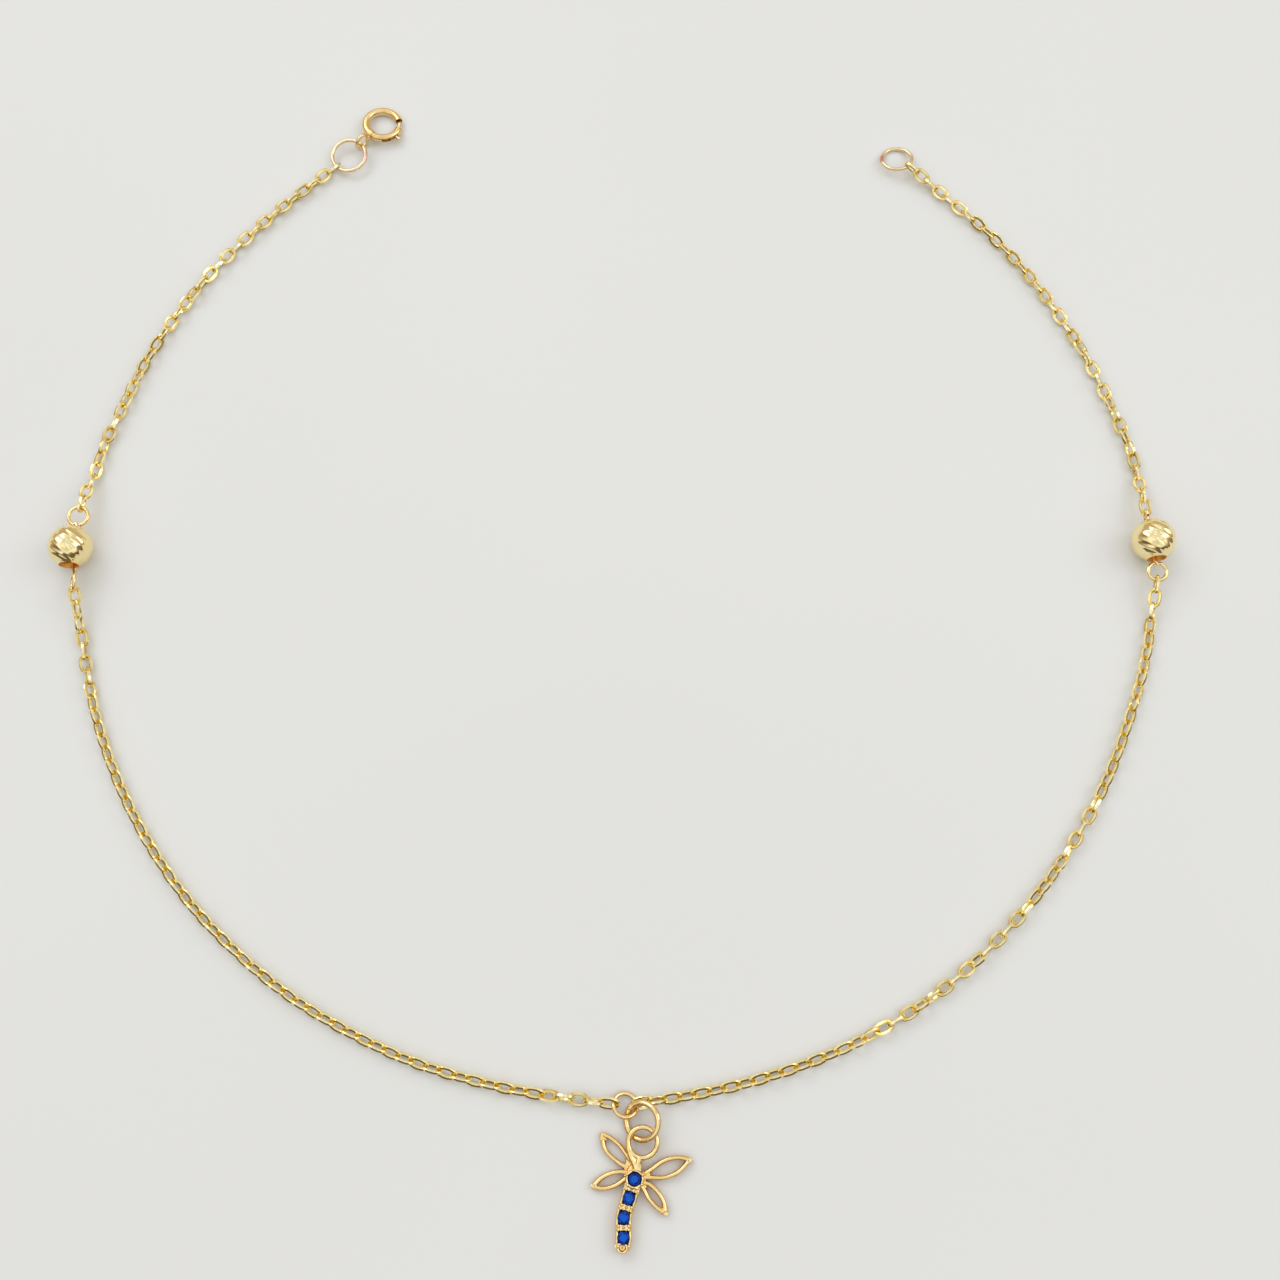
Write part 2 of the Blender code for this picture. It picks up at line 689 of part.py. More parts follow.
def clasp_trigger(shop, clasp):
    """The tongue that closes the gate, with the stub and knob that draw it back."""
    radius = CLASP_LOOP.radius
    knob_place = polar(CLASP_OUTER / 2 + KNOB_GAP + KNOB_DIAMETER / 2, KNOB_ANGLE)
    line = arc(radius, GATE_START - TONGUE_HIDDEN, GATE_END + TONGUE_SEAT, RING_SIDES)
    tongue = wire(shop, "clasp_trigger", line, TONGUE_DIAMETER, TUBE_RESOLUTION, parent=clasp)
    stub = wire(shop, "trigger_stub", [polar(radius, KNOB_ANGLE), knob_place], STUB_DIAMETER,
                TUBE_RESOLUTION, parent=clasp)  # fmt: skip
    shape = bmesh.new()
    bmesh.ops.create_icosphere(shape, subdivisions=2, radius=KNOB_DIAMETER / 2)
    mesh = bpy.data.meshes.new("trigger_knob")
    shape.to_mesh(mesh)
    shape.free()
    knob = shop.piece("trigger_knob", mesh, Matrix.Translation(knob_place), clasp)
    shop.combine(tongue, stub, "UNION")
    shop.combine(tongue, knob, "UNION")
    return tongue


def flat_shape(shop, name, outlines, base, top):
    """A plate between two heights. The first outline is its edge, and any others are openings in it."""
    curve = bpy.data.curves.new(name, "CURVE")
    curve.dimensions = "2D"
    curve.fill_mode = "BOTH"
    curve.extrude = (top - base) / 2
    for outline in outlines:
        spline = curve.splines.new("POLY")
        spline.points.add(len(outline) - 1)
        for target, point in zip(spline.points, outline):
            target.co = (point.x, point.y, 0, 1)
        spline.use_cyclic_u = True
    return as_mesh(shop, name, curve, matrix=Matrix.Translation((*crown_place(), (top + base) / 2)))


def blade(leaf, inset):
    """Outline of a leaf, or of the opening that keeps a rim of this width inside it."""
    length, half_width = leaf.length * LEAF_LENGTH, leaf.width * LEAF_LENGTH / 2
    start = polar(leaf.root * LEAF_LENGTH, math.radians(leaf.root_heading))
    margin = inset / length
    sides = ([], [])
    for i in range(LEAF_STEPS + 1):
        t = margin + (1 - 2 * margin) * i / LEAF_STEPS
        turned = math.radians(leaf.heading + leaf.bend * t / 2)
        across = turned + math.radians(leaf.bend * t / 2) + math.pi / 2
        narrowest = half_width * LEAF_SLIT if inset else 0.0
        reach = max(half_width * interpolate(LEAF_PROFILE, t) - inset, narrowest)
        middle = start + polar(length * t, turned)
        sides[0].append(middle + polar(reach, across))
        sides[1].append(middle - polar(reach, across))
    return sides[0] + sides[1][::-1]


def trunk_outline():
    """Both edges of the trunk along its middle line, with a round foot."""
    line = [Vector((x, y, 0)) * TRUNK_LENGTH for x, y, _ in TRUNK_LINE]
    edges = ([], [])
    dense = smooth_through(line, TRUNK_STEPS)
    for i, point in enumerate(dense):
        ahead = dense[min(i + 1, len(dense) - 1)] - dense[max(i - 1, 0)]
        across = Vector((-ahead.y, ahead.x, 0)).normalized() * TRUNK_WIDTH / 2
        edges[0].append(point + across)
        edges[1].append(point - across)
    final = dense[-1] - dense[-2]
    heading = math.atan2(final.y, final.x)
    foot = arc(TRUNK_WIDTH / 2, heading + math.pi / 2, heading - math.pi / 2, FOOT_SIDES)
    return edges[0] + [line[-1] + point for point in foot[1:-1]] + edges[1][::-1]


def disc(shop, name, place, diameter, base, top, sides=RING_SIDES):
    """An upright round bar in the charm, between two heights."""
    where = crown_place().to_3d() + place
    pose = Matrix.Translation((where.x, where.y, (top + base) / 2))
    return round_bar(shop, name, diameter, top - base, pose, sides)


def ball(shop, name, place, diameter, height):
    shape = bmesh.new()
    bmesh.ops.create_icosphere(shape, subdivisions=1, radius=diameter / 2)
    mesh = bpy.data.meshes.new(name)
    shape.to_mesh(mesh)
    shape.free()
    where = crown_place().to_3d() + place
    return shop.piece(name, mesh, Matrix.Translation((where.x, where.y, height)))


def stone_places():
    return [Vector((x, y, 0)) * TRUNK_LENGTH for x, y, holds in TRUNK_LINE if holds]


def charm_ring_centre():
    """The charm ring hangs in the centre ring and leans on the floor."""
    reach = CENTRE_RING.inner + CHARM_RING.inner - CHARM_RING_SLACK
    middle = CENTRE_RING_PLACE.to_3d() + polar(reach, CHARM_RING_HEADING)
    middle.z = CHARM_RING.rest_height
    return middle


def loop_place():
    """The charm's loop hangs in the charm ring."""
    reach = CHARM_RING.inner + CHARM_LOOP.inner - CHARM_LOOP_SLACK
    return (charm_ring_centre() + polar(reach, CHARM_LOOP_HEADING)).xy


def crown_place():
    return loop_place() - Vector((LOOP_ACROSS, LOOP_RISE))


def loop_centre():
    """The loop's height lets the charm ring pass under one side of it and over the other."""
    ring = charm_ring_centre()
    middle = loop_place().to_3d()
    away = middle.xy - ring.xy
    chord = (away.length**2 + CHARM_RING.radius**2 - CHARM_LOOP.radius**2) / (2 * away.length)
    middle.z = CHARM_RING.height_at(ring, ring.xy.to_3d() + away.normalized().to_3d() * chord)
    return middle


def palm_charm(shop):
    """The cast palm tree: trunk, crown, leaves, loop and prongs as one solid, with a seat for each stone."""
    trunk = flat_shape(shop, "palm_charm", [trunk_outline()], 0, TRUNK_TOP)
    joined = [disc(shop, "crown", Vector(), CROWN_DIAMETER, BACK_STEP, CROWN_TOP)]
    for number, leaf in enumerate(LEAVES, 1):
        base = BACK_STEP * (1 + number)
        outlines = [blade(leaf, 0), blade(leaf, LEAF_RIM)]
        joined.append(flat_shape(shop, f"leaf_{number}", outlines, base, base + LEAF_THICKNESS))
    loop = loop_centre()
    joined.append(round_ring(shop, "charm_loop", CHARM_LOOP, Matrix.Translation(loop)))
    crown = Vector((*crown_place(), loop.z))
    towards = (loop - crown).normalized()
    post = [crown + towards * POST_ROOT, loop - towards * CHARM_LOOP.radius]
    joined.append(wire(shop, "loop_post", post, POST_DIAMETER, TUBE_RESOLUTION))
    stones = stone_places()
    for number, (upper, lower) in enumerate(zip(stones, stones[1:]), 1):
        down = (lower - upper).normalized()
        across = Vector((-down.y, down.x, 0)) * (TRUNK_WIDTH - PRONG_DIAMETER) / 2
        for side, name in ((1, "a"), (-1, "b")):
            place = (upper + lower) / 2 + side * across
            joined.append(ball(shop, f"prong_{number}{name}", place, PRONG_DIAMETER, TRUNK_TOP))
    foot = Vector((TRUNK_LINE[-1][0], TRUNK_LINE[-1][1], 0)) * TRUNK_LENGTH
    dimple_place = foot + Vector((0, -FOOT_DIMPLE / 2, 0))
    for piece in joined:
        shop.combine(trunk, piece, "UNION")
    above = CROWN_TOP + TRUNK_TOP
    seat_floor = TRUNK_TOP - STONE_DIAMETER * STONE_PAVILION - STONE_GAP
    for number, place in enumerate(stones, 1):
        seat = disc(shop, f"seat_{number}", place, STONE_DIAMETER + 2 * STONE_GAP, seat_floor, above)
        shop.combine(trunk, seat, "DIFFERENCE")
    dimple_floor = TRUNK_TOP - DIMPLE_DEPTH
    dimple = disc(shop, "foot_dimple", dimple_place, FOOT_DIMPLE, dimple_floor, above, DIMPLE_SIDES)
    shop.combine(trunk, dimple, "DIFFERENCE")
    return trunk


def cut_stone(shop, name, place):
    """A round cut stone: flat table, sloping crown facets and a pointed pavilion."""
    radius = STONE_DIAMETER / 2
    crown, pavilion = STONE_CROWN * STONE_DIAMETER, STONE_PAVILION * STONE_DIAMETER
    shape = bmesh.new()
    bmesh.ops.create_cone(
        shape, cap_ends=True, segments=STONE_SIDES, radius1=radius, radius2=radius * STONE_TABLE, depth=crown,
        matrix=Matrix.Translation((0, 0, crown / 2)),
    )  # fmt: skip
    girdle = [face for face in shape.faces if all(abs(v.co.z) < WELD for v in face.verts)]
    bmesh.ops.delete(shape, geom=girdle, context="FACES_ONLY")
    rim = [edge for edge in shape.edges if edge.is_boundary]
    point = bmesh.ops.extrude_edge_only(shape, edges=rim)["geom"]
    tip = [item for item in point if isinstance(item, bmesh.types.BMVert)]
    bmesh.ops.pointmerge(shape, verts=tip, merge_co=Vector((0, 0, -pavilion)))
    bmesh.ops.recalc_face_normals(shape, faces=shape.faces)
    mesh = bpy.data.meshes.new(name)
    shape.to_mesh(mesh)
    shape.free()
    where = crown_place().to_3d() + place
    return shop.piece(name, mesh, Matrix.Translation((where.x, where.y, TRUNK_TOP)))


def pin_hooks(spec):
    """The upper and the lower eye of a bead's pin, as what holds a strand."""
    return Hook(spec.upper_centre, spec.upper.inner), Hook(spec.lower_centre, spec.lower.inner)


def main():
    """Builds every piece of the anklet where it lies."""
    shop = Workshop()
    clasp = shop.piece("clasp_axis", None, clasp_pose())
    clasp_gold(clasp_body(shop, clasp), "clasp_body")
    clasp_gold(clasp_trigger(shop, clasp), "clasp_trigger")

    clasp_ring = clasp_ring_centre()
    leaning = lying(clasp_ring, leaning_clasp_ring())
    ring_gold(round_ring(shop, "clasp_jump_ring", CLASP_RING, leaning, CLASP_RING_SLIT), "clasp_jump_ring")
    end_centre = Vector((*END_RING_PLACE, END_RING.rest_height))
    ring_gold(round_ring(shop, "end_ring", END_RING, lying(end_centre, END_RING)), "end_ring")
    middle = Vector((*CENTRE_RING_PLACE, CENTRE_RING.rest_height))
    ring_gold(round_ring(shop, "centre_ring", CENTRE_RING, lying(middle, CENTRE_RING)), "centre_ring")
    carrier = charm_ring_centre()
    hanging = lying(carrier, CHARM_RING)
    ring_gold(round_ring(shop, "charm_ring", CHARM_RING, hanging, CHARM_RING_SLIT), "charm_ring")

    for side, spec in (("left", LEFT_BEAD), ("right", RIGHT_BEAD)):
        bead_gold(bead(shop, f"bead_{side}", spec), f"bead_{side}")
        chain_gold(bead_pin(shop, f"bead_pin_{side}", spec), f"bead_pin_{side}")

    clasp_hook = Hook(Vector((*clasp_ring.xy, LINK_WIDTH / 2)), CLASP_RING.inner)
    chain_side = on_floor(*ROUTES["chain_upper_right"][-1]) - END_RING_PLACE
    held = end_centre + chain_side.normalized().to_3d() * END_RING.radius
    end_hook = Hook(Vector((*end_centre.xy, END_RING.height_at(end_centre, held))), END_RING.inner)
    floor_hook = Hook(Vector((*CENTRE_RING_PLACE, CORE_DIAMETER / 2)), CENTRE_RING.inner)
    left_upper, left_lower = pin_hooks(LEFT_BEAD)
    right_upper, right_lower = pin_hooks(RIGHT_BEAD)
    chain_gold(linked_chain(shop, "chain_upper_left", clasp_hook, left_upper), "chain_upper_left")
    chain_gold(linked_chain(shop, "chain_upper_right", right_upper, end_hook), "chain_upper_right")
    rings = [(middle, CENTRE_RING.outer), (carrier, CHARM_RING.outer)]
    for name, start, end, spec in (
        ("chain_lower_left", left_lower, floor_hook, LEFT_BEAD),
        ("chain_lower_right", floor_hook, right_lower, RIGHT_BEAD),
    ):
        clear_of = [*rings, (spec.lower_centre, spec.lower.outer)]
        chain_gold(chain_core(shop, name, start, end, clear_of), name)

    ring_gold(palm_charm(shop), "palm_charm")
    for number, place in enumerate(stone_places(), 1):
        stone_blue(cut_stone(shop, f"stone_{number}", place), f"stone_{number}")


main()
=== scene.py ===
"""Dressed scene of the charm anklet: fine links, cut beads, jump rings, clasp, cast palm charm and stones.

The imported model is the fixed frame. Every piece is worked out in millimetres, in the frame's own
coordinates, and handed over in metres. Places on the floor are shares of half the loop's width and depth,
as in the part's source, so that a link, ring or bead lies where its solid lies.
"""

from __future__ import annotations

import logging
import math
import random
from dataclasses import dataclass, field, replace
from enum import Enum
from typing import Sequence

import bmesh
import bpy
from mathutils import Matrix, Vector

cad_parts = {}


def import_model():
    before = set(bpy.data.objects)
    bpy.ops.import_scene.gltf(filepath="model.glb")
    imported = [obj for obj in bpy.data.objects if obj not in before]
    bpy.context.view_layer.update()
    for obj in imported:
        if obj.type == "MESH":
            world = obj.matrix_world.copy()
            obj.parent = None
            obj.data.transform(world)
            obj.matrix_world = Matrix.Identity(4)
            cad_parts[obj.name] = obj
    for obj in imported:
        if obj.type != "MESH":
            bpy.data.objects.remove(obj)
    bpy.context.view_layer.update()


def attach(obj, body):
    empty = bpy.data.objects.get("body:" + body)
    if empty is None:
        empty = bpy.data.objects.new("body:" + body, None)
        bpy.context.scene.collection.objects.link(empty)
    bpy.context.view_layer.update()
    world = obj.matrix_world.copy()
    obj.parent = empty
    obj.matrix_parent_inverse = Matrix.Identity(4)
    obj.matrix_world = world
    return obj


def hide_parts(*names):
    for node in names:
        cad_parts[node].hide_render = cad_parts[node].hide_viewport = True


log = logging.getLogger("anklet")

MM = 0.001  # in metres
WELD = 0.0005  # points nearer than this count as one
UP = Vector((0, 0, 1))
STEEP = 0.9  # upward share of a direction that counts as upright
CREASE = 1.0  # turn of an edge, in radians, that counts as a corner
LOOP_WIDTH = 97.01
LOOP_DEPTH = 92.76
FOOTPRINT_MIDDLE = Vector((0.0534, -0.1592))
LINK_WIDTH = 1.17
LINK_PITCH = 1.234
LINK_WIRE = 0.285
LINK_CORNER = 0.055
PIN_WIRE = 0.35
# Name of the mesh mark for painted shade.
PAINTED_SHADE_LAYER = "painted_shade"
# Name of the mesh mark for each facet's painted light.
PAINTED_FACET_LIGHT = "painted_facet_light"
SOFT_PATCHES = (0.35, 0.65)
SPARSE_PATCHES = (0.52, 0.74)

Colour = tuple[float, float, float]
Pairs = Sequence[tuple[float, float]]


class Body(Enum):
    """Moving bodies of the part."""

    ANKLET = "anklet"
    TRIGGER = "trigger"


class Slot(Enum):
    """Finishes that the record names."""

    CHAIN = "chain_gold"
    RING = "ring_gold"
    CLASP = "clasp_gold"
    BEAD = "bead_gold"
    STONE = "stone_blue"


def on_floor(across: float, along: float, height: float = 0.0) -> Vector:
    """A place given in shares of half the loop's width and of half its depth.

    Args:
        across: Share to the right of the loop's middle.
        along: Share towards the clasp.
        height: Height over the floor, in millimetres.

    Returns:
        The place in millimetres, in the frame's coordinates.
    """
    return Vector(
        (
            across * LOOP_WIDTH / 2 - FOOTPRINT_MIDDLE.x,
            along * LOOP_DEPTH / 2 - FOOTPRINT_MIDDLE.y,
            height,
        )
    )


def polar(radius: float, angle: float) -> Vector:
    """A point at a distance and heading, on the floor."""
    return Vector((radius * math.cos(angle), radius * math.sin(angle), 0))


def arc(radius: float, start: float, end: float, steps: int) -> list[Vector]:
    """Points of an arc about the origin, ends included."""
    return [polar(radius, start + (end - start) * i / steps) for i in range(steps + 1)]


def circle(radius: float, steps: int) -> list[Vector]:
    """Points round a circle about the origin."""
    return arc(radius, 0, math.tau, steps)[:-1]


def at_height(place: Vector, height: float) -> Vector:
    """The place at another height."""
    return Vector((*place.xy, height))


def spots(pairs: Pairs, height: float = 0.0) -> list[Vector]:
    """Places from pairs of numbers, all at one height."""
    return [Vector((*pair, height)) for pair in pairs]


def facing(direction: Vector, axis: str = "Z") -> Matrix:
    """The turn that points this axis along the direction."""
    return direction.to_track_quat(axis, "Y").to_matrix().to_4x4()


def verts_of(made: Sequence[object]) -> list[bmesh.types.BMVert]:
    """The points among what an operator made."""
    return [item for item in made if isinstance(item, bmesh.types.BMVert)]


def rim_of(made: Sequence[object]) -> list[bmesh.types.BMEdge]:
    """The open edges among what an operator made."""
    return [item for item in made if isinstance(item, bmesh.types.BMEdge) and item.is_boundary]


def add_to_scene(name: str, data: bpy.types.ID) -> bpy.types.Object:
    """Adds an object to the scene.

    Args:
        name: Its name.
        data: Its mesh, light or camera.

    Returns:
        The object.
    """
    obj = bpy.data.objects.new(name, data)
    bpy.context.scene.collection.objects.link(obj)
    return obj


def smooth_through(points: Sequence[Vector], steps: int = 12) -> list[Vector]:
    """A dense Catmull-Rom line through the points.

    Args:
        points: Points that the line passes through.
        steps: Runs between two of them.

    Returns:
        The points of the line, ends included.
    """
    padded = [2 * points[0] - points[1], *points, 2 * points[-1] - points[-2]]
    line = []
    for p0, p1, p2, p3 in zip(padded, padded[1:], padded[2:], padded[3:]):
        for step in range(steps):
            t = step / steps
            bend = (2 * p0 - 5 * p1 + 4 * p2 - p3) * t**2 + (3 * p1 - p0 - 3 * p2 + p3) * t**3
            line.append(0.5 * (2 * p1 + (p2 - p0) * t + bend))
    return [*line, points[-1].copy()]


def interpolate(table: Pairs, x: float) -> float:
    """Reads a short table in straight runs.

    Args:
        table: Pairs of place and value, in order.
        x: The place.

    Returns:
        The value there.
    """
    for (x0, y0), (x1, y1) in zip(table, table[1:]):
        if x <= x1:
            return y0 + (y1 - y0) * (x - x0) / (x1 - x0)
    return table[-1][1]


class Term:
    """A shader socket that takes part in sums and products, each of which adds its Math node."""

    def __init__(self, graph: "Graph", socket: bpy.types.NodeSocket) -> None:
        """Keeps the socket and its graph."""
        self.graph, self.socket = graph, socket

    def _math(self, operation: str, *values: "Term | float") -> "Term":
        """The result of one Math node on these values."""
        return self.graph.node("ShaderNodeMath", {"operation": operation}, dict(enumerate(values)))

    def __add__(self, other: "Term | float") -> "Term":
        """The sum."""
        return self._math("ADD", self, other)

    __radd__ = __add__

    def __sub__(self, other: "Term | float") -> "Term":
        """The difference."""
        return self._math("SUBTRACT", self, other)

    def __rsub__(self, other: float) -> "Term":
        """The difference from a number."""
        return self._math("SUBTRACT", other, self)

    def __mul__(self, other: "Term | float") -> "Term":
        """The product."""
        return self._math("MULTIPLY", self, other)

    __rmul__ = __mul__

    def smooth(self, low: float, high: float) -> "Term":
        """Turns the term into a share, without a corner.

        Args:
            low: Where the share is 0.
            high: Where it is 1.

        Returns:
            The share.
        """
        settings = {"interpolation_type": "SMOOTHSTEP"}
        limits = {"Value": self, "From Min": low, "From Max": high}
        return self.graph.node("ShaderNodeMapRange", settings, limits)


class Graph:
    """The node tree of one material, or of the room's light."""

    def __init__(self, owner: bpy.types.Material | bpy.types.World) -> None:
        """Turns the nodes on and finds the shader among them.

        Args:
            owner: The material, or the room.
        """
        owner.use_nodes = True
        self.tree = owner.node_tree
        kinds = ("BSDF_PRINCIPLED", "BACKGROUND")
        self.shader = next(node for node in self.tree.nodes if node.type in kinds)

    def node(self, kind: str, settings: dict, inputs: dict, output: int | str = 0) -> Term:
        """Adds a node, applies its settings, then sets or links its sockets.

        Args:
            kind: The node's type.
            settings: Its own settings, by name.
            inputs: Values or terms for its sockets, by name or number.
            output: The socket that the term stands for.

        Returns:
            The chosen output.
        """
        made = self.tree.nodes.new(kind)
        for key, value in settings.items():
            setattr(made, key, value)
        for key, value in inputs.items():
            self.put(made.inputs[key], value)
        return Term(self, made.outputs[output])

    def put(self, socket: bpy.types.NodeSocket, value: object) -> None:
        """Links a term to a socket, or sets the socket's own value.

        Args:
            socket: The socket.
            value: The term or the value.
        """
        if isinstance(value, Term):
            self.tree.links.new(value.socket, socket)
        else:
            socket.default_value = value

    def set(self, name: str, value: object) -> None:
        """Links or sets one socket of the shader."""
        self.put(self.shader.inputs[name], value)

    def get(self, name: str) -> Term:
        """What is linked to one socket of the shader."""
        return Term(self, self.shader.inputs[name].links[0].from_socket)

    def places(self) -> Term:
        """Object coordinates, in metres."""
        return self.node("ShaderNodeTexCoord", {}, {}, "Object")

    def noise(self, scale: float, detail: float = 2.0, places: Term | None = None) -> Term:
        """Noise of this many features to the metre."""
        inputs = {"Vector": places or self.places(), "Scale": scale, "Detail": detail}
        return self.node("ShaderNodeTexNoise", {}, inputs, "Fac")

    def attribute(self, name: str) -> Term:
        """A number that the mesh carries."""
        return self.node("ShaderNodeAttribute", {"attribute_name": name}, {}, "Fac")

    def mix(self, share: Term | float, first: object, second: object) -> Term:
        """A blend of two colours."""
        return self.node("ShaderNodeMix", {"data_type": "RGBA"}, {0: share, 6: first, 7: second}, 2)


def rgba(colour: Sequence[float]) -> tuple[float, float, float, float]:
    """A colour with full cover."""
    return (*colour, 1.0)


@dataclass(frozen=True)
class GoldFinish:
    """Polished gold plate.

    Args:
        slot: The record's slot.
        colour: Colour of the plate.
        deep: Colour in its thicker, warmer patches.
        roughness: Gloss of the polish.
        ripple: Height of the surface's waviness, in millimetres.
        wear: How much the worn places dull.
        patches: Warmer patches to the metre.
        rubs: Rubbed places to the metre.
        waves: Waves to the metre.
        relief: Strength of the waves.
    """

    slot: Slot
    colour: Colour
    deep: Colour
    roughness: float
    ripple: float
    wear: float = 0.10
    patches: float = 900.0
    rubs: float = 2600.0
    waves: float = 3200.0
    relief: float = 0.6

    def build(self) -> bpy.types.Material:
        """Makes the material.

        Returns:
            The material, on Object coordinates.
        """
        material = bpy.data.materials.new(f"{self.slot.value}_plate")
        graph = Graph(material)
        patches = graph.noise(self.patches, 3.0).smooth(*SOFT_PATCHES)
        graph.set("Base Color", graph.mix(patches, rgba(self.colour), rgba(self.deep)))
        wear_and_highlight = graph.noise(self.rubs, 4.0).smooth(*SPARSE_PATCHES)
        graph.set("Roughness", self.roughness + wear_and_highlight * self.wear)
        graph.set("Metallic", 1.0)
        waves = graph.noise(self.waves, 2.0)
        bump = {"Height": waves, "Distance": self.ripple * MM, "Strength": self.relief}
        graph.set("Normal", graph.node("ShaderNodeBump", {}, bump))
        return material


@dataclass(frozen=True)
class SolderedGold(GoldFinish):
    """Gold plate with the pinkish joint of one soldered ring.

    Args:
        joint: Place of the joint, in millimetres.
        pink: Colour of the solder.
        reach: How far the solder runs, in millimetres.
        core: Share of that which is solder alone.
    """

    joint: tuple[float, float, float] = (0.0, 0.0, 0.0)
    pink: Colour = (0.80, 0.40, 0.26)
    reach: float = 0.55
    core: float = 0.6

    def build(self) -> bpy.types.Material:
        """Makes the plate and lays the joint's colour over it.

        Returns:
            The material.
        """
        material = super().build()
        graph = Graph(material)
        ends = {0: graph.places(), 1: tuple(part * MM for part in self.joint)}
        away = graph.node("ShaderNodeVectorMath", {"operation": "DISTANCE"}, ends, "Value")
        covered = 1.0 - away.smooth(self.reach * self.core * MM, self.reach * MM)
        graph.set("Base Color", graph.mix(covered, graph.get("Base Color"), rgba(self.pink)))
        return material


@dataclass(frozen=True)
class PaintedShadeGold(GoldFinish):
    """Gold plate with painted shade: a darker, warmer colour in bores, on sides that turn away from above and
    on the inner faces of links.

    Args:
        painted_shade: Colour of the painted shade.
        dull: How much duller the metal is there.
    """

    painted_shade: Colour = (1.0, 0.60, 0.17)
    dull: float = 0.5

    def build(self) -> bpy.types.Material:
        """Makes the plate and paints the shade over it.

        Returns:
            The material.
        """
        material = super().build()
        graph = Graph(material)
        # Share of painted shade, read from the mark that the mesh carries.
        hollow = graph.attribute(PAINTED_SHADE_LAYER)
        graph.set("Base Color", graph.mix(hollow, graph.get("Base Color"), rgba(self.painted_shade)))
        graph.set("Roughness", graph.get("Roughness") + hollow * self.dull)
        return material


@dataclass(frozen=True)
class StoneFinish:
    """Royal-blue cut stone whose facets carry painted light: each is painted its own lighter or darker blue.

    Args:
        slot: The record's slot.
        bright: The lightest facet.
        dark: The darkest facet.
        tones: Tones that stand for the darkest and the lightest.
        clouds: Clouds in the stone, to the metre.
        cloudiness: How much they change the tone.
        grain: Fine marks of the polish, to the metre.
        gloss: Least roughness, and what the marks add.
        bending: The stone's refractive index.
        glare: Level of its mirror light.
    """

    slot: Slot = Slot.STONE
    bright: Colour = (0.002, 0.105, 0.66)
    dark: Colour = (0.001, 0.010, 0.095)
    tones: tuple[float, float] = (0.15, 1.10)
    clouds: float = 2400.0
    cloudiness: float = 0.3
    grain: float = 5000.0
    gloss: tuple[float, float] = (0.05, 0.05)
    bending: float = 1.5
    glare: float = 0.16

    def build(self) -> bpy.types.Material:
        """Makes the material from the facets' own tones.

        Returns:
            The material.
        """
        material = bpy.data.materials.new(f"{self.slot.value}_cut")
        graph = Graph(material)
        clouds = graph.noise(self.clouds, 2.0) * self.cloudiness
        share = (graph.attribute(PAINTED_FACET_LIGHT) + clouds).smooth(*self.tones)
        graph.set("Base Color", graph.mix(share, rgba(self.dark), rgba(self.bright)))
        least, added = self.gloss
        graph.set("Roughness", least + graph.noise(self.grain) * added)
        graph.set("IOR", self.bending)
        graph.set("Specular IOR Level", self.glare)
        return material


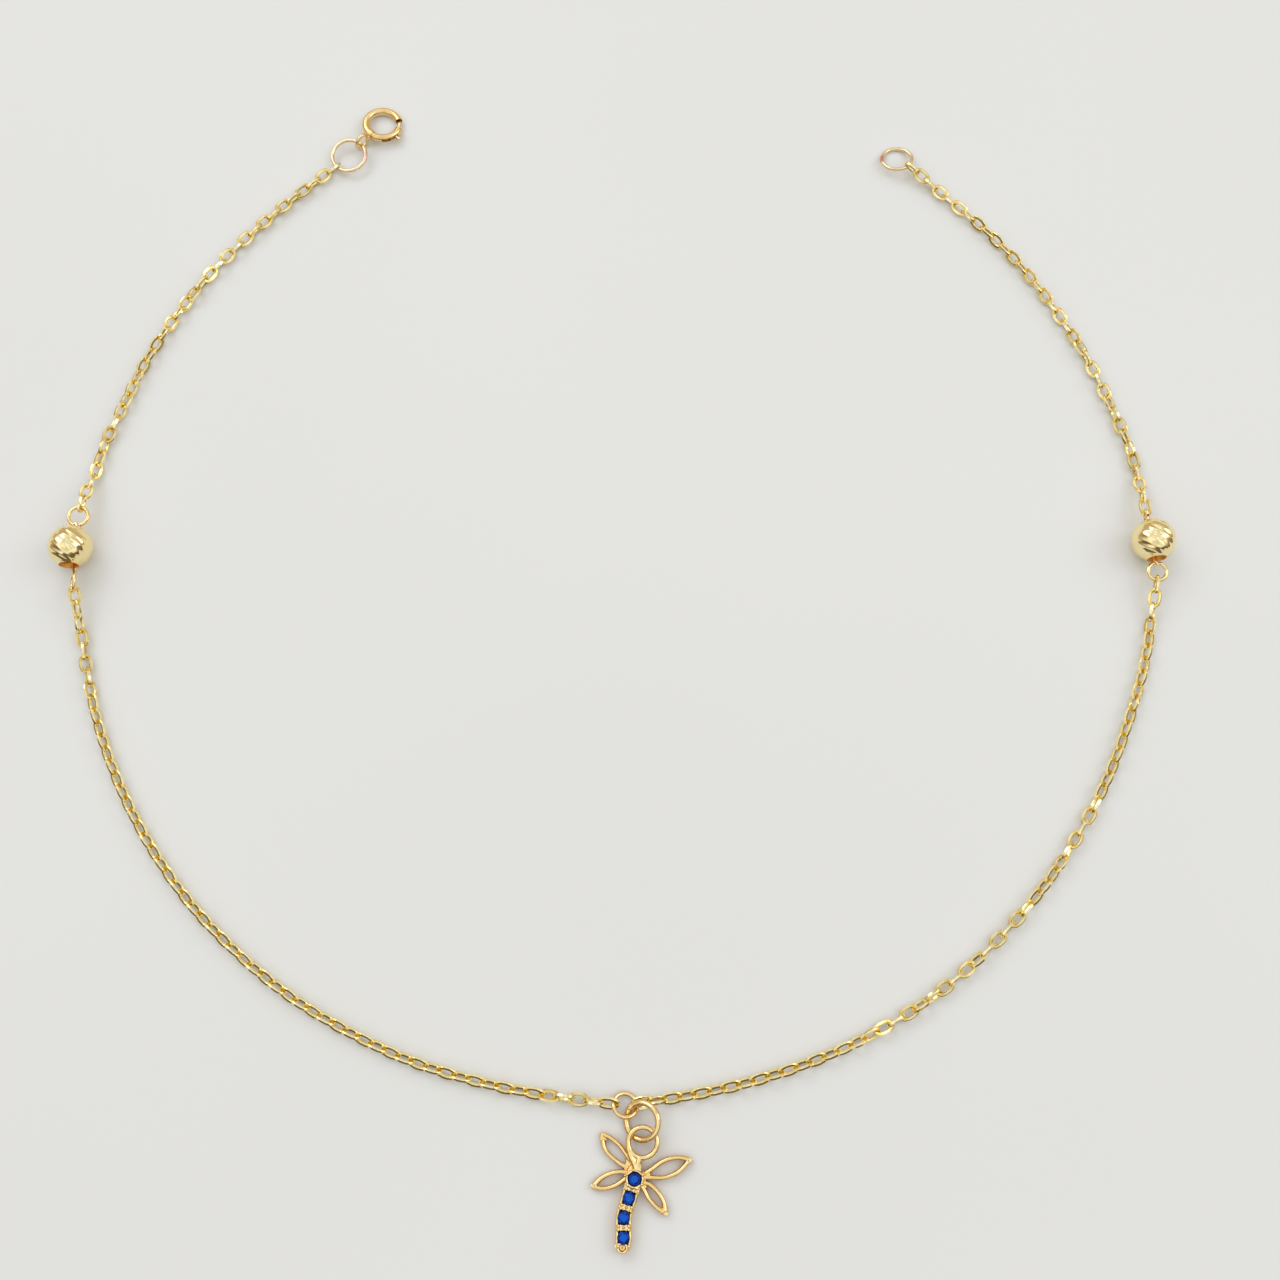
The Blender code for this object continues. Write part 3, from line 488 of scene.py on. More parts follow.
class Forge:
    """Shapes one piece in millimetres with mesh operators, then hands it over in metres."""

    def __init__(self) -> None:
        """Starts with an empty shape."""
        self.shape = bmesh.new()

    def outline(self, points: Sequence[Vector]) -> list[bmesh.types.BMEdge]:
        """Draws a closed line through the points."""
        corners = [self.shape.verts.new(point) for point in points]
        return [self.shape.edges.new(pair) for pair in zip(corners, corners[1:] + corners[:1])]

    def sweep(
        self,
        path: Sequence[Vector],
        section: Sequence[Vector] | float,
        sides: int = 14,
        closed: bool = False,
        sizes: Sequence[float] | None = None,
    ) -> None:
        """Draws a section along a path by extruding its edge again and again.

        Args:
            path: Points of the wire's middle line.
            section: The wire's diameter, or the points of its section.
            sides: Sides of a round section.
            closed: Whether the path returns to its first point.
            sizes: Size of the section at each point, as a share.
        """
        frames = self._frames(list(path), closed)
        sizes = sizes or [1.0] * len(frames)
        poses = [frame @ Matrix.Scale(size, 4) for frame, size in zip(frames, sizes)]
        before = len(self.shape.verts)
        if isinstance(section, float):
            bmesh.ops.create_circle(self.shape, segments=sides, radius=section / 2)
        else:
            self.outline(section)
        self.shape.verts.ensure_lookup_table()
        first = self.shape.verts[before:]
        start = list(dict.fromkeys(edge for vert in first for edge in vert.link_edges))
        bmesh.ops.transform(self.shape, matrix=poses[0], verts=first)
        end = start
        for last, pose in zip(poses, poses[1:]):
            made = bmesh.ops.extrude_edge_only(self.shape, edges=end)["geom"]
            end = rim_of(made)
            bmesh.ops.transform(self.shape, matrix=pose @ last.inverted(), verts=verts_of(made))
        if closed:
            bmesh.ops.bridge_loops(self.shape, edges=start + end)
        else:
            for rim in (start, end):
                bmesh.ops.edgeloop_fill(self.shape, edges=rim)

    @staticmethod
    def _frames(path: list[Vector], closed: bool) -> list[Matrix]:
        """Poses along the path that turn as little as they can.

        Args:
            path: The points.
            closed: Whether the path returns to its first point.

        Returns:
            One pose for each point, Z along the path.
        """
        count = len(path)
        frames: list[Matrix] = []
        across = None
        for i, point in enumerate(path):
            ahead = path[(i + 1) % count] if closed else path[min(i + 1, count - 1)]
            behind = path[i - 1] if closed or i else path[0]
            forward = (ahead - behind).normalized()
            if across is None:
                across = forward.orthogonal() if abs(forward.z) > STEEP else UP.cross(forward)
            across = (across - across.dot(forward) * forward).normalized()
            turn = Matrix((across, forward.cross(across), forward)).transposed().to_4x4()
            frames.append(Matrix.Translation(point) @ turn)
        return frames

    def bar(self, diameter: float, base: Vector, top: Vector, sides: int = 16) -> None:
        """A round bar between two points."""
        along = top - base
        bmesh.ops.create_cone(
            self.shape, cap_ends=True, segments=sides, radius1=diameter / 2, radius2=diameter / 2,
            depth=along.length, matrix=Matrix.Translation((base + top) / 2) @ facing(along),
        )  # fmt: skip

    def ball(self, diameter: float, place: Vector, flat: float = 1.0) -> None:
        """A round bead of metal, flattened by a share."""
        pose = Matrix.Translation(place) @ Matrix.Diagonal((1, 1, flat, 1))
        bmesh.ops.create_icosphere(self.shape, subdivisions=3, radius=diameter / 2, matrix=pose)

    def plate(
        self, outlines: Sequence[Sequence[Vector]], base: float, top: float, bevel: float = 0.0
    ) -> None:
        """A plate between two heights. The first outline is its edge, and any others are openings in it.

        Args:
            outlines: Closed lines of points.
            base: Height of its back.
            top: Height of its face.
            bevel: Rounding of the edges of its face.
        """
        flat = Forge()
        shape = flat.shape
        edges = [edge for line in outlines for edge in flat.outline([at_height(p, base) for p in line])]
        faces = bmesh.ops.triangle_fill(shape, use_beauty=True, edges=edges)["geom"]
        faces = [item for item in faces if isinstance(item, bmesh.types.BMFace)]
        raised = bmesh.ops.extrude_face_region(shape, geom=faces, use_keep_orig=True)["geom"]
        bmesh.ops.translate(shape, verts=verts_of(raised), vec=(0, 0, top - base))
        flat.outward()
        if bevel:
            high = [edge for edge in shape.edges if all(vert.co.z > top - WELD for vert in edge.verts)]
            rim = [edge for edge in high if edge.calc_face_angle(0) > CREASE]
            bmesh.ops.bevel(
                shape, geom=rim, offset=bevel, segments=3, profile=0.5, affect="EDGES", material=-1,
                clamp_overlap=True,
            )  # fmt: skip
        self.take(flat.mesh("plate"))

    def outward(self) -> "Forge":
        """Turns all faces outward."""
        bmesh.ops.recalc_face_normals(self.shape, faces=self.shape.faces)
        return self

    def mesh(self, name: str) -> bpy.types.Mesh:
        """Ends the shaping.

        Args:
            name: Name of the mesh.

        Returns:
            The shape as a mesh.
        """
        mesh = bpy.data.meshes.new(name)
        self.shape.to_mesh(mesh)
        self.shape.free()
        return mesh

    def take(self, mesh: bpy.types.Mesh) -> "Forge":
        """Adds a mesh to the shape and clears the mesh away.

        Args:
            mesh: The mesh.

        Returns:
            The same shape.
        """
        self.shape.from_mesh(mesh)
        bpy.data.meshes.remove(mesh)
        return self

    def shade_sides(self, start: float = 0.78, span: float = 0.5) -> "Forge":
        """Marks the surfaces that turn away from above for painted shade, a darker colour that stands in for
        the light they miss.

        Args:
            start: Upward share of the normal below which the mark begins.
            span: Share over which it grows to the full.

        Returns:
            The same shape.
        """
        painted_shade = self.shape.verts.layers.float.new(PAINTED_SHADE_LAYER)
        self.outward()
        self.shape.normal_update()
        # Painted shade: the more a surface turns from above, the darker its colour.
        for vert in self.shape.verts:
            vert[painted_shade] = min(max((start - vert.normal.z) / span, 0.0), 1.0)
        return self

    def place(self, pose: Matrix) -> "Forge":
        """Moves all that is shaped so far."""
        bmesh.ops.transform(self.shape, matrix=pose, verts=self.shape.verts)
        return self

    def draft(self, name: str = "draft") -> bpy.types.Object:
        """The shape as an object in millimetres, for modifiers."""
        return add_to_scene(name, self.outward().mesh(name))

    def combine(self, joined: Sequence["Forge"], cuts: Sequence["Forge"] = ()) -> "Forge":
        """Joins and then cuts with other shapes by exact Booleans.

        Args:
            joined: Shapes to add.
            cuts: Shapes to take away.

        Returns:
            A new shape of the result.
        """
        target, tools = self.draft(), []
        for others, operation in ((joined, "UNION"), (cuts, "DIFFERENCE")):
            for other in others:
                tool = other.draft("tool")
                step = target.modifiers.new(operation, "BOOLEAN")
                step.operation, step.solver, step.object = operation, "EXACT", tool
                tools.append(tool)
        return Forge.taken(target, tools)

    @staticmethod
    def taken(target: bpy.types.Object, tools: Sequence[bpy.types.Object] = ()) -> "Forge":
        """Takes the evaluated mesh of an object and clears it away with its tools.

        Args:
            target: The object with its modifiers.
            tools: Objects that go with it.

        Returns:
            The shape.
        """
        bpy.context.view_layer.update()
        evaluated = target.evaluated_get(bpy.context.evaluated_depsgraph_get())
        made = Forge().take(bpy.data.meshes.new_from_object(evaluated))
        for obj in (target, *tools):
            bpy.data.objects.remove(obj, do_unlink=True)
        return made

    def deliver(
        self,
        name: str,
        slot: Slot,
        finish: bpy.types.Material,
        *stands_for: str,
        body: Body = Body.ANKLET,
        sharp: float = 35.0,
    ) -> None:
        """Hands the piece over: in metres, at the origin, dressed, riding on its body.

        Args:
            name: Name of the piece.
            slot: The record's slot of its finish; not used.
            finish: Its material.
            stands_for: Solids that it stands for.
            body: Body that carries it.
            sharp: Edges steeper than this many degrees stay crisp.
        """
        mesh = self.place(Matrix.Scale(MM, 4)).mesh(name)
        mesh.shade_smooth()
        mesh.set_sharp_from_angle(angle=math.radians(sharp))
        mesh.materials.append(finish)
        obj = add_to_scene(name, mesh)
        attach(obj, body.value)
        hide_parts(*stands_for)
        log.info("%s: %d faces", name, len(mesh.polygons))


@dataclass(frozen=True)
class RingShape:
    """A wire ring that leans on the floor.

    Args:
        outer: Its size over the wire.
        wire: The wire's diameter.
        tilt: Lean in degrees.
        raised: Heading of its raised side, in degrees.
        slit: Heading of its cut, or None where it is soldered.
        gap: Width of the cut.
        shift: How far the cut's two ends miss each other.
        facets: Share by which it bulges at its corners.
        corners: Count of its corners.
        steps: Points along its wire.
    """

    outer: float
    wire: float
    tilt: float = 0.0
    raised: float = 0.0
    slit: float | None = None
    gap: float = 0.07
    shift: float = 0.05
    facets: float = 0.0
    corners: int = 6
    steps: int = 72

    @property
    def radius(self) -> float:
        """Radius of the wire's middle line."""
        return (self.outer - self.wire) / 2

    @property
    def inner(self) -> float:
        """Radius of the hole."""
        return self.outer / 2 - self.wire

    @property
    def rest_height(self) -> float:
        """Height of the middle when the low side touches the floor."""
        return self.radius * math.sin(math.radians(self.tilt)) + self.wire / 2

    @property
    def uphill(self) -> Vector:
        """Direction of the raised side, on the floor."""
        return polar(1.0, math.radians(self.raised))

    def height_at(self, centre: Vector, place: Vector) -> float:
        """Height of the ring's plane over a place on the floor."""
        slope = math.tan(math.radians(self.tilt)) * self.uphill.xy
        return centre.z + (place.xy - centre.xy).dot(slope)

    def pose(self, centre: Vector) -> Matrix:
        """The ring's pose about its middle."""
        lean = Matrix.Rotation(math.radians(self.tilt), 4, self.uphill.cross(UP))
        return Matrix.Translation(centre) @ lean

    def stouter(self, outer: float = 0.04, wire: float = 0.05) -> "RingShape":
        """The ring in the thicker wire that is seen at the charm."""
        return replace(self, outer=self.outer + outer, wire=self.wire + wire)

    def shape(self, centre: Vector) -> Forge:
        """Draws the ring's wire.

        Args:
            centre: Its middle.

        Returns:
            The shape in place.
        """
        forge = Forge()
        if self.slit is None:
            path = [
                point * (1 + self.facets * math.cos(self.corners * math.tau * i / self.steps))
                for i, point in enumerate(circle(self.radius, self.steps))
            ]
        else:
            half = math.asin(self.gap / 2 / self.radius)
            start = math.radians(self.slit) + half
            whole = arc(self.radius, start, start + math.tau - 2 * half, self.steps)
            away = [(i / self.steps - 0.5) ** 3 * 4 for i in range(len(whole))]
            path = [point + UP * self.shift * share for point, share in zip(whole, away)]
        forge.sweep(path, self.wire, closed=self.slit is None)
        return forge.place(self.pose(centre))


@dataclass(frozen=True)
class Eye:
    """One end of a bead's pin.

    Args:
        outer: Its size over the wire.
        reach: From the bead's middle to its own.
        roll: Roll from flat, in degrees.
        play: Room that the stem's wire leaves.
        stem_turn: How far round from the stem the eye begins, as a share of its opening.
        end_turn: How far short of the stem it ends, as a share of its opening.
        steps: Points along its wire.
    """

    outer: float
    reach: float
    roll: float
    play: float = 0.05
    stem_turn: float = 0.8
    end_turn: float = 0.5
    steps: int = 30

    @property
    def radius(self) -> float:
        """Radius of the wire's middle line."""
        return (self.outer - PIN_WIRE) / 2

    @property
    def inner(self) -> float:
        """Radius of the hole."""
        return self.outer / 2 - PIN_WIRE

    def wire_line(self) -> list[Vector]:
        """Lays the eye's wire in its own plane.

        Returns:
            Points from the stem at -X round to the cut end.
        """
        opening = math.asin(min(1.0, (PIN_WIRE + self.play) / self.radius))
        first, last = math.pi - opening * self.stem_turn, opening * self.end_turn - math.pi
        return arc(self.radius, first, last, self.steps)


@dataclass(frozen=True)
class Hook:
    """What holds the end of a strand.

    Args:
        place: Its middle, at the strand's height.
        inner: Radius of its hole.
        rise: Length over which the strand climbs to it.
    """

    place: Vector
    inner: float
    rise: float = 4.0


@dataclass(frozen=True)
class CutBead:
    """A drilled bead with long spiral cuts, and the eye pin through it.

    Args:
        side: Which side of the anklet.
        place: Its place on the floor.
        heading: Heading of the pin, in degrees.
        lean: Side of the bore that the pin lies against, in degrees.
        upper: The eye towards the clasp's end.
        lower: The eye towards the charm.
        turn: Turn of the cuts about the pin, in degrees.
        diameter: Size of the ball.
        bore: Width of its bore.
        mouth: Width of the flat round each end of the bore.
        lip: Depth of the flat's edge.
        cone: Radius at the foot of the edge's cone, as a share of the mouth.
        flare: Depth of the cone.
        play: Room that the pin keeps from the bore.
        rows: Rows of cuts from end to end.
        around: Cuts in a row.
        row_step: From one row to the next, in degrees.
        swirl: Slope of the cuts from the belt, in degrees.
        sway: Greatest change of that slope.
        depth: Least and greatest depth of a cut.
        hollow: Radius of a cut across its length.
        bow: Radius of a cut along its length, over the ball's own.
        slant: Greatest slope of a cut along its length.
        reach: How far from its middle a cut can reach, in radians.
        fineness: How often the ball's faces are divided.
    """

    side: str
    place: Vector
    heading: float
    lean: float
    upper: Eye
    lower: Eye
    turn: float = 0.0
    diameter: float = 3.95
    bore: float = 1.50
    mouth: float = 1.78
    lip: float = 0.02
    cone: float = 0.45
    flare: float = 0.42
    play: float = 0.06
    rows: int = 5
    around: int = 15
    row_step: float = 26.0
    swirl: float = 35.0
    sway: float = 4.0
    depth: tuple[float, float] = (0.050, 0.060)
    hollow: float = 1.0
    bow: float = 8.0
    slant: float = 0.05
    reach: float = 0.62
    fineness: int = 6

    @property
    def along(self) -> Vector:
        """Direction of the pin."""
        return polar(1.0, math.radians(self.heading))

    @property
    def centre(self) -> Vector:
        """The bead's middle."""
        return at_height(self.place, self.diameter / 2)

    @property
    def pin_middle(self) -> Vector:
        """Works out how the pin lies against one side of the bore.

        Returns:
            The pin's middle.
        """
        play = (self.bore - PIN_WIRE) / 2 - self.play
        across = Vector((self.along.y, -self.along.x, 0))
        lean = math.radians(self.lean)
        return self.centre + play * (math.cos(lean) * across + math.sin(lean) * UP)

    @property
    def hooks(self) -> list[Hook]:
        """The upper and the lower eye as what holds a strand."""
        ends = ((self.upper, 1), (self.lower, -1))
        return [Hook(self.pin_middle + side * eye.reach * self.along, eye.inner) for eye, side in ends]

    def _flutes(self) -> list[tuple[Vector, Vector, Vector, float, float]]:
        """Lays out the spiral cuts.

        Returns:
            The middle, the directions across and along, the depth and the slope of each.
        """
        chance = random.Random(self.turn)
        slope = math.radians(self.swirl)
        flutes = []
        for row in range(self.rows):
            latitude = (row - (self.rows - 1) / 2) * math.radians(self.row_step)
            for column in range(self.around):
                shear = latitude / math.tan(slope)
                longitude = math.radians(self.turn) + math.tau * column / self.around - shear
                middle = polar(math.cos(latitude), longitude) + UP * math.sin(latitude)
                east = polar(1.0, longitude + math.pi / 2)
                north = middle.cross(east)
                own = slope + math.radians(chance.uniform(-self.sway, self.sway))
                across = math.sin(own) * east + math.cos(own) * north
                along = middle.cross(across)
                slant = chance.uniform(-self.slant, self.slant)
                flutes.append((middle, across, along, chance.uniform(*self.depth), slant))
        return flutes

    def bead_shape(self) -> Forge:
        """Cuts the flutes into a ball, opens its ends and drills it.

        Returns:
            The bead in place.
        """
        forge = Forge()
        shape, radius = forge.shape, self.diameter / 2
        bmesh.ops.create_icosphere(shape, subdivisions=self.fineness, radius=1.0)
        painted_shade = shape.verts.layers.float.new(PAINTED_SHADE_LAYER)
        flutes = self._flutes()
        reach = math.cos(self.reach)
        for vert in shape.verts:
            heading = vert.co.normalized()
            height = radius
            for middle, across, along, depth, slant in flutes:
                if heading.dot(middle) > reach:
                    off, run = heading.dot(across), heading.dot(along) * radius
                    floor = radius - depth + (off * radius) ** 2 / (2 * self.hollow)
                    rise = run * run / (2 * self.bow) + run * slant
                    height = min(height, floor / math.sqrt(1 - off * off) + rise)
            vert.co = heading * height
        mouth = math.sqrt(radius**2 - (self.mouth / 2) ** 2)
        steps = (
            (self.mouth / 2, self.lip), (self.mouth * self.cone, self.flare), (self.bore / 2, self.flare)
        )  # fmt: skip
        rims = []
        for side in (UP, -UP):
            everything = [*shape.verts, *shape.edges, *shape.faces]
            rim = rim_of(bmesh.ops.bisect_plane(
                shape, geom=everything, plane_co=side * mouth, plane_no=side, clear_outer=True, dist=WELD
            )["geom_cut"])  # fmt: skip
            for bore, depth in steps:
                made = bmesh.ops.extrude_edge_only(shape, edges=rim)["geom"]
                rim = rim_of(made)
                # Painted shade: the lip, the cone and the bore are marked for the darker colour.
                for vert in verts_of(made):
                    vert.co = Vector((*(vert.co.xy.normalized() * bore), side.z * (mouth - depth)))
                    vert[painted_shade] = 1.0
            rims += rim
        bmesh.ops.bridge_loops(shape, edges=rims)
        return forge.outward().place(Matrix.Translation(self.centre) @ facing(self.along))

    def pin_shape(self) -> Forge:
        """Bends the pin's wire to an eye at each end.

        Returns:
            The pin in place.
        """
        line: list[Vector] = []
        for eye, side in ((self.upper, 1), (self.lower, -1)):
            turn = Matrix.Rotation(math.radians(eye.roll), 4, "X")
            mirror = Matrix.Rotation(0 if side > 0 else math.pi, 4, "Z")
            bent = [mirror @ turn @ (point + Vector((eye.reach, 0, 0))) for point in eye.wire_line()]
            stem_end = Vector((side * (eye.reach - eye.radius - PIN_WIRE / 2), 0, 0))
            line += [*reversed(bent), stem_end] if side > 0 else [stem_end, *bent]
        forge = Forge()
        forge.sweep(smooth_through(line, 2), PIN_WIRE)
        turn = Matrix.Rotation(math.radians(self.heading), 4, "Z")
        return forge.place(Matrix.Translation(self.pin_middle) @ turn)

    def make(self, plate: bpy.types.Material, wire: bpy.types.Material) -> None:
        """Makes the bead and its pin.

        Args:
            plate: The bead's finish.
            wire: The pin's finish.
        """
        bead, pin = f"bead_{self.side}", f"bead_pin_{self.side}"
        self.bead_shape().deliver(f"cut_{bead}", Slot.BEAD, plate, bead, sharp=40.0)
        self.pin_shape().deliver(f"eye_wire_{self.side}", Slot.CHAIN, wire, pin)


@dataclass
class Strand:
    """A strand of separate cable links between two hooks.

    Args:
        node: The solid that it stands for.
        start: What holds its first link.
        end: What holds its last link.
        route: Places on the floor between them.
        twists: Twist beyond a quarter turn a link: share of the strand, degrees.
        end_roll: Roll from flat of the last link.
        seed: Seed of the links' own small turns.
        floor_height: Height of its middle line where it lies on the floor.
        hook_gap: Room between the last link and what holds it.
        slack: What a link is longer than its pitch asks.
        loose: Greatest turn of a link's own, in degrees.
        run: Half the length over which a link's heading is taken.
        line: Points of its middle line.
        lengths: Distance of each from the start.
    """

    node: str
    start: Hook
    end: Hook
    route: Pairs
    twists: Pairs
    end_roll: float
    seed: int
    floor_height: float = LINK_WIDTH / 2
    hook_gap: float = 0.05
    slack: float = 0.02
    loose: float = 3.5
    run: float = 0.4
    line: list[Vector] = field(default_factory=list)
    lengths: list[float] = field(default_factory=list)

    def __post_init__(self) -> None:
        """Lays the smooth line along the route."""
        stops = [on_floor(*place) for place in self.route]
        ends = [at_height(hook.place, 0) for hook in (self.start, self.end)]
        self.line = smooth_through([ends[0], *stops, ends[1]])
        self.lengths = [0.0]
        for a, b in zip(self.line, self.line[1:]):
            self.lengths.append(self.lengths[-1] + (b - a).length)

    def climb(self, distance: float, hook: Hook) -> float:
        """Height over the floor line, level as far as the first link and then falling smoothly."""
        share = min(max(1 - (distance - hook.inner - LINK_PITCH / 2) / hook.rise, 0.0), 1.0)
        return (hook.place.z - self.floor_height) * share * share * (3 - 2 * share)

    def place(self, distance: float) -> Vector:
        """Finds a point of the middle line.

        Args:
            distance: How far it is from the start.

        Returns:
            The point.
        """
        length = self.lengths[-1]
        distance = min(max(distance, 0.0), length)
        index = next(i for i, reached in enumerate(self.lengths[1:]) if distance <= reached)
        run = self.lengths[index + 1] - self.lengths[index]
        point = self.line[index].lerp(self.line[index + 1], (distance - self.lengths[index]) / run)
        climbs = self.climb(distance, self.start) + self.climb(length - distance, self.end)
        point.z = self.floor_height + climbs
        return point

    def rolls(self, count: int) -> list[float]:
        """Rolls the links by the table of twists, eased so that the last one fits what holds it.

        Args:
            count: How many links there are.

        Returns:
            The roll of each, in degrees.
        """
        missed = self.end_roll - self.twists[-1][1] - 90 * (count - 1)
        ease = (missed + 90) % 180 - 90
        shares = [number / (count - 1) for number in range(count)]
        return [90 * i + interpolate(self.twists, share) + ease * share for i, share in enumerate(shares)]

    @staticmethod
    def link(
        length: float, steps: int = 12, fullness: float = 2.5, inward: float = 0.02, soft: float = 0.3
    ) -> bpy.types.Mesh:
        """One oval link whose wire is drawn with flat sides.

        Args:
            length: Its outer length.
            steps: Points along its wire.
            fullness: Power of its oval, 2 for an ellipse.
            inward: How far in from the wire's middle line the painted shade begins.
            soft: Strength of the painted shade away from the ends.

        Returns:
            The link's mesh about the origin, lying flat, its length along X.
        """
        flat, corner = LINK_WIRE / 2, LINK_WIRE / 2 - LINK_CORNER
        quarter = ((flat, corner), (corner, flat))
        half = [*quarter, *((-x, y) for x, y in reversed(quarter))]
        section = spots([*half, *((-x, -y) for x, y in half)])
        half_length, half_width = (length - LINK_WIRE) / 2, (LINK_WIDTH - LINK_WIRE) / 2
        path = []
        for step in range(steps):
            turn = math.tau * (step + 0.5) / steps
            c, s = math.cos(turn), math.sin(turn)
            fuller = (abs(c) ** fullness + abs(s) ** fullness) ** (-1 / fullness)
            path.append(Vector((c * half_length, s * half_width, 0)) * fuller)
        forge = Forge()
        forge.sweep(path, section, closed=True)
        painted_shade = forge.outward().shape.verts.layers.float.new(PAINTED_SHADE_LAYER)
        # Painted shade on the wire's inner faces, full near the ends where the next link passes through.
        for vert in forge.shape.verts:
            out_x, out_y = abs(vert.co.x), abs(vert.co.y)
            if min(half_length - out_x, half_width - out_y) > inward:
                vert[painted_shade] = 1.0 if out_x > half_length / 2 else soft
        return forge.mesh("link")

    def make(self, plate: bpy.types.Material) -> None:
        """Lays the links along the strand.

        Args:
            plate: Their finish.
        """
        reach = LINK_PITCH / 2 - self.hook_gap
        first = self.start.inner + reach
        last = self.lengths[-1] - self.end.inner - reach
        count = round((last - first) / LINK_PITCH) + 1
        pitch = (last - first) / (count - 1)
        log.info("%s: %d links, pitch %.3f", self.node, count, pitch)
        template = self.link(pitch + 2 * LINK_WIRE + self.slack)
        chance = random.Random(self.seed)
        forge = Forge()
        for number, roll in enumerate(self.rolls(count)):
            distance = first + number * pitch
            ahead, behind = self.place(distance + self.run), self.place(distance - self.run)
            forward = (ahead - behind).normalized()
            side = UP.cross(forward).normalized()
            turn = Matrix((forward, side, forward.cross(side))).transposed().to_4x4()
            loose = self.loose if 1 < number < count - 2 else 0.0
            own = math.radians(roll + chance.uniform(-loose, loose))
            swing = Matrix.Rotation(math.radians(chance.uniform(-loose, loose) / 2), 4, "Z")
            pose = Matrix.Translation(self.place(distance)) @ turn @ swing @ Matrix.Rotation(own, 4, "X")
            before = len(forge.shape.verts)
            forge.shape.from_mesh(template)
            forge.shape.verts.ensure_lookup_table()
            bmesh.ops.transform(forge.shape, matrix=pose, verts=forge.shape.verts[before:])
        bpy.data.meshes.remove(template)
        links = self.node.replace("chain", "links")
        forge.deliver(links, Slot.CHAIN, plate, self.node, sharp=38.0)


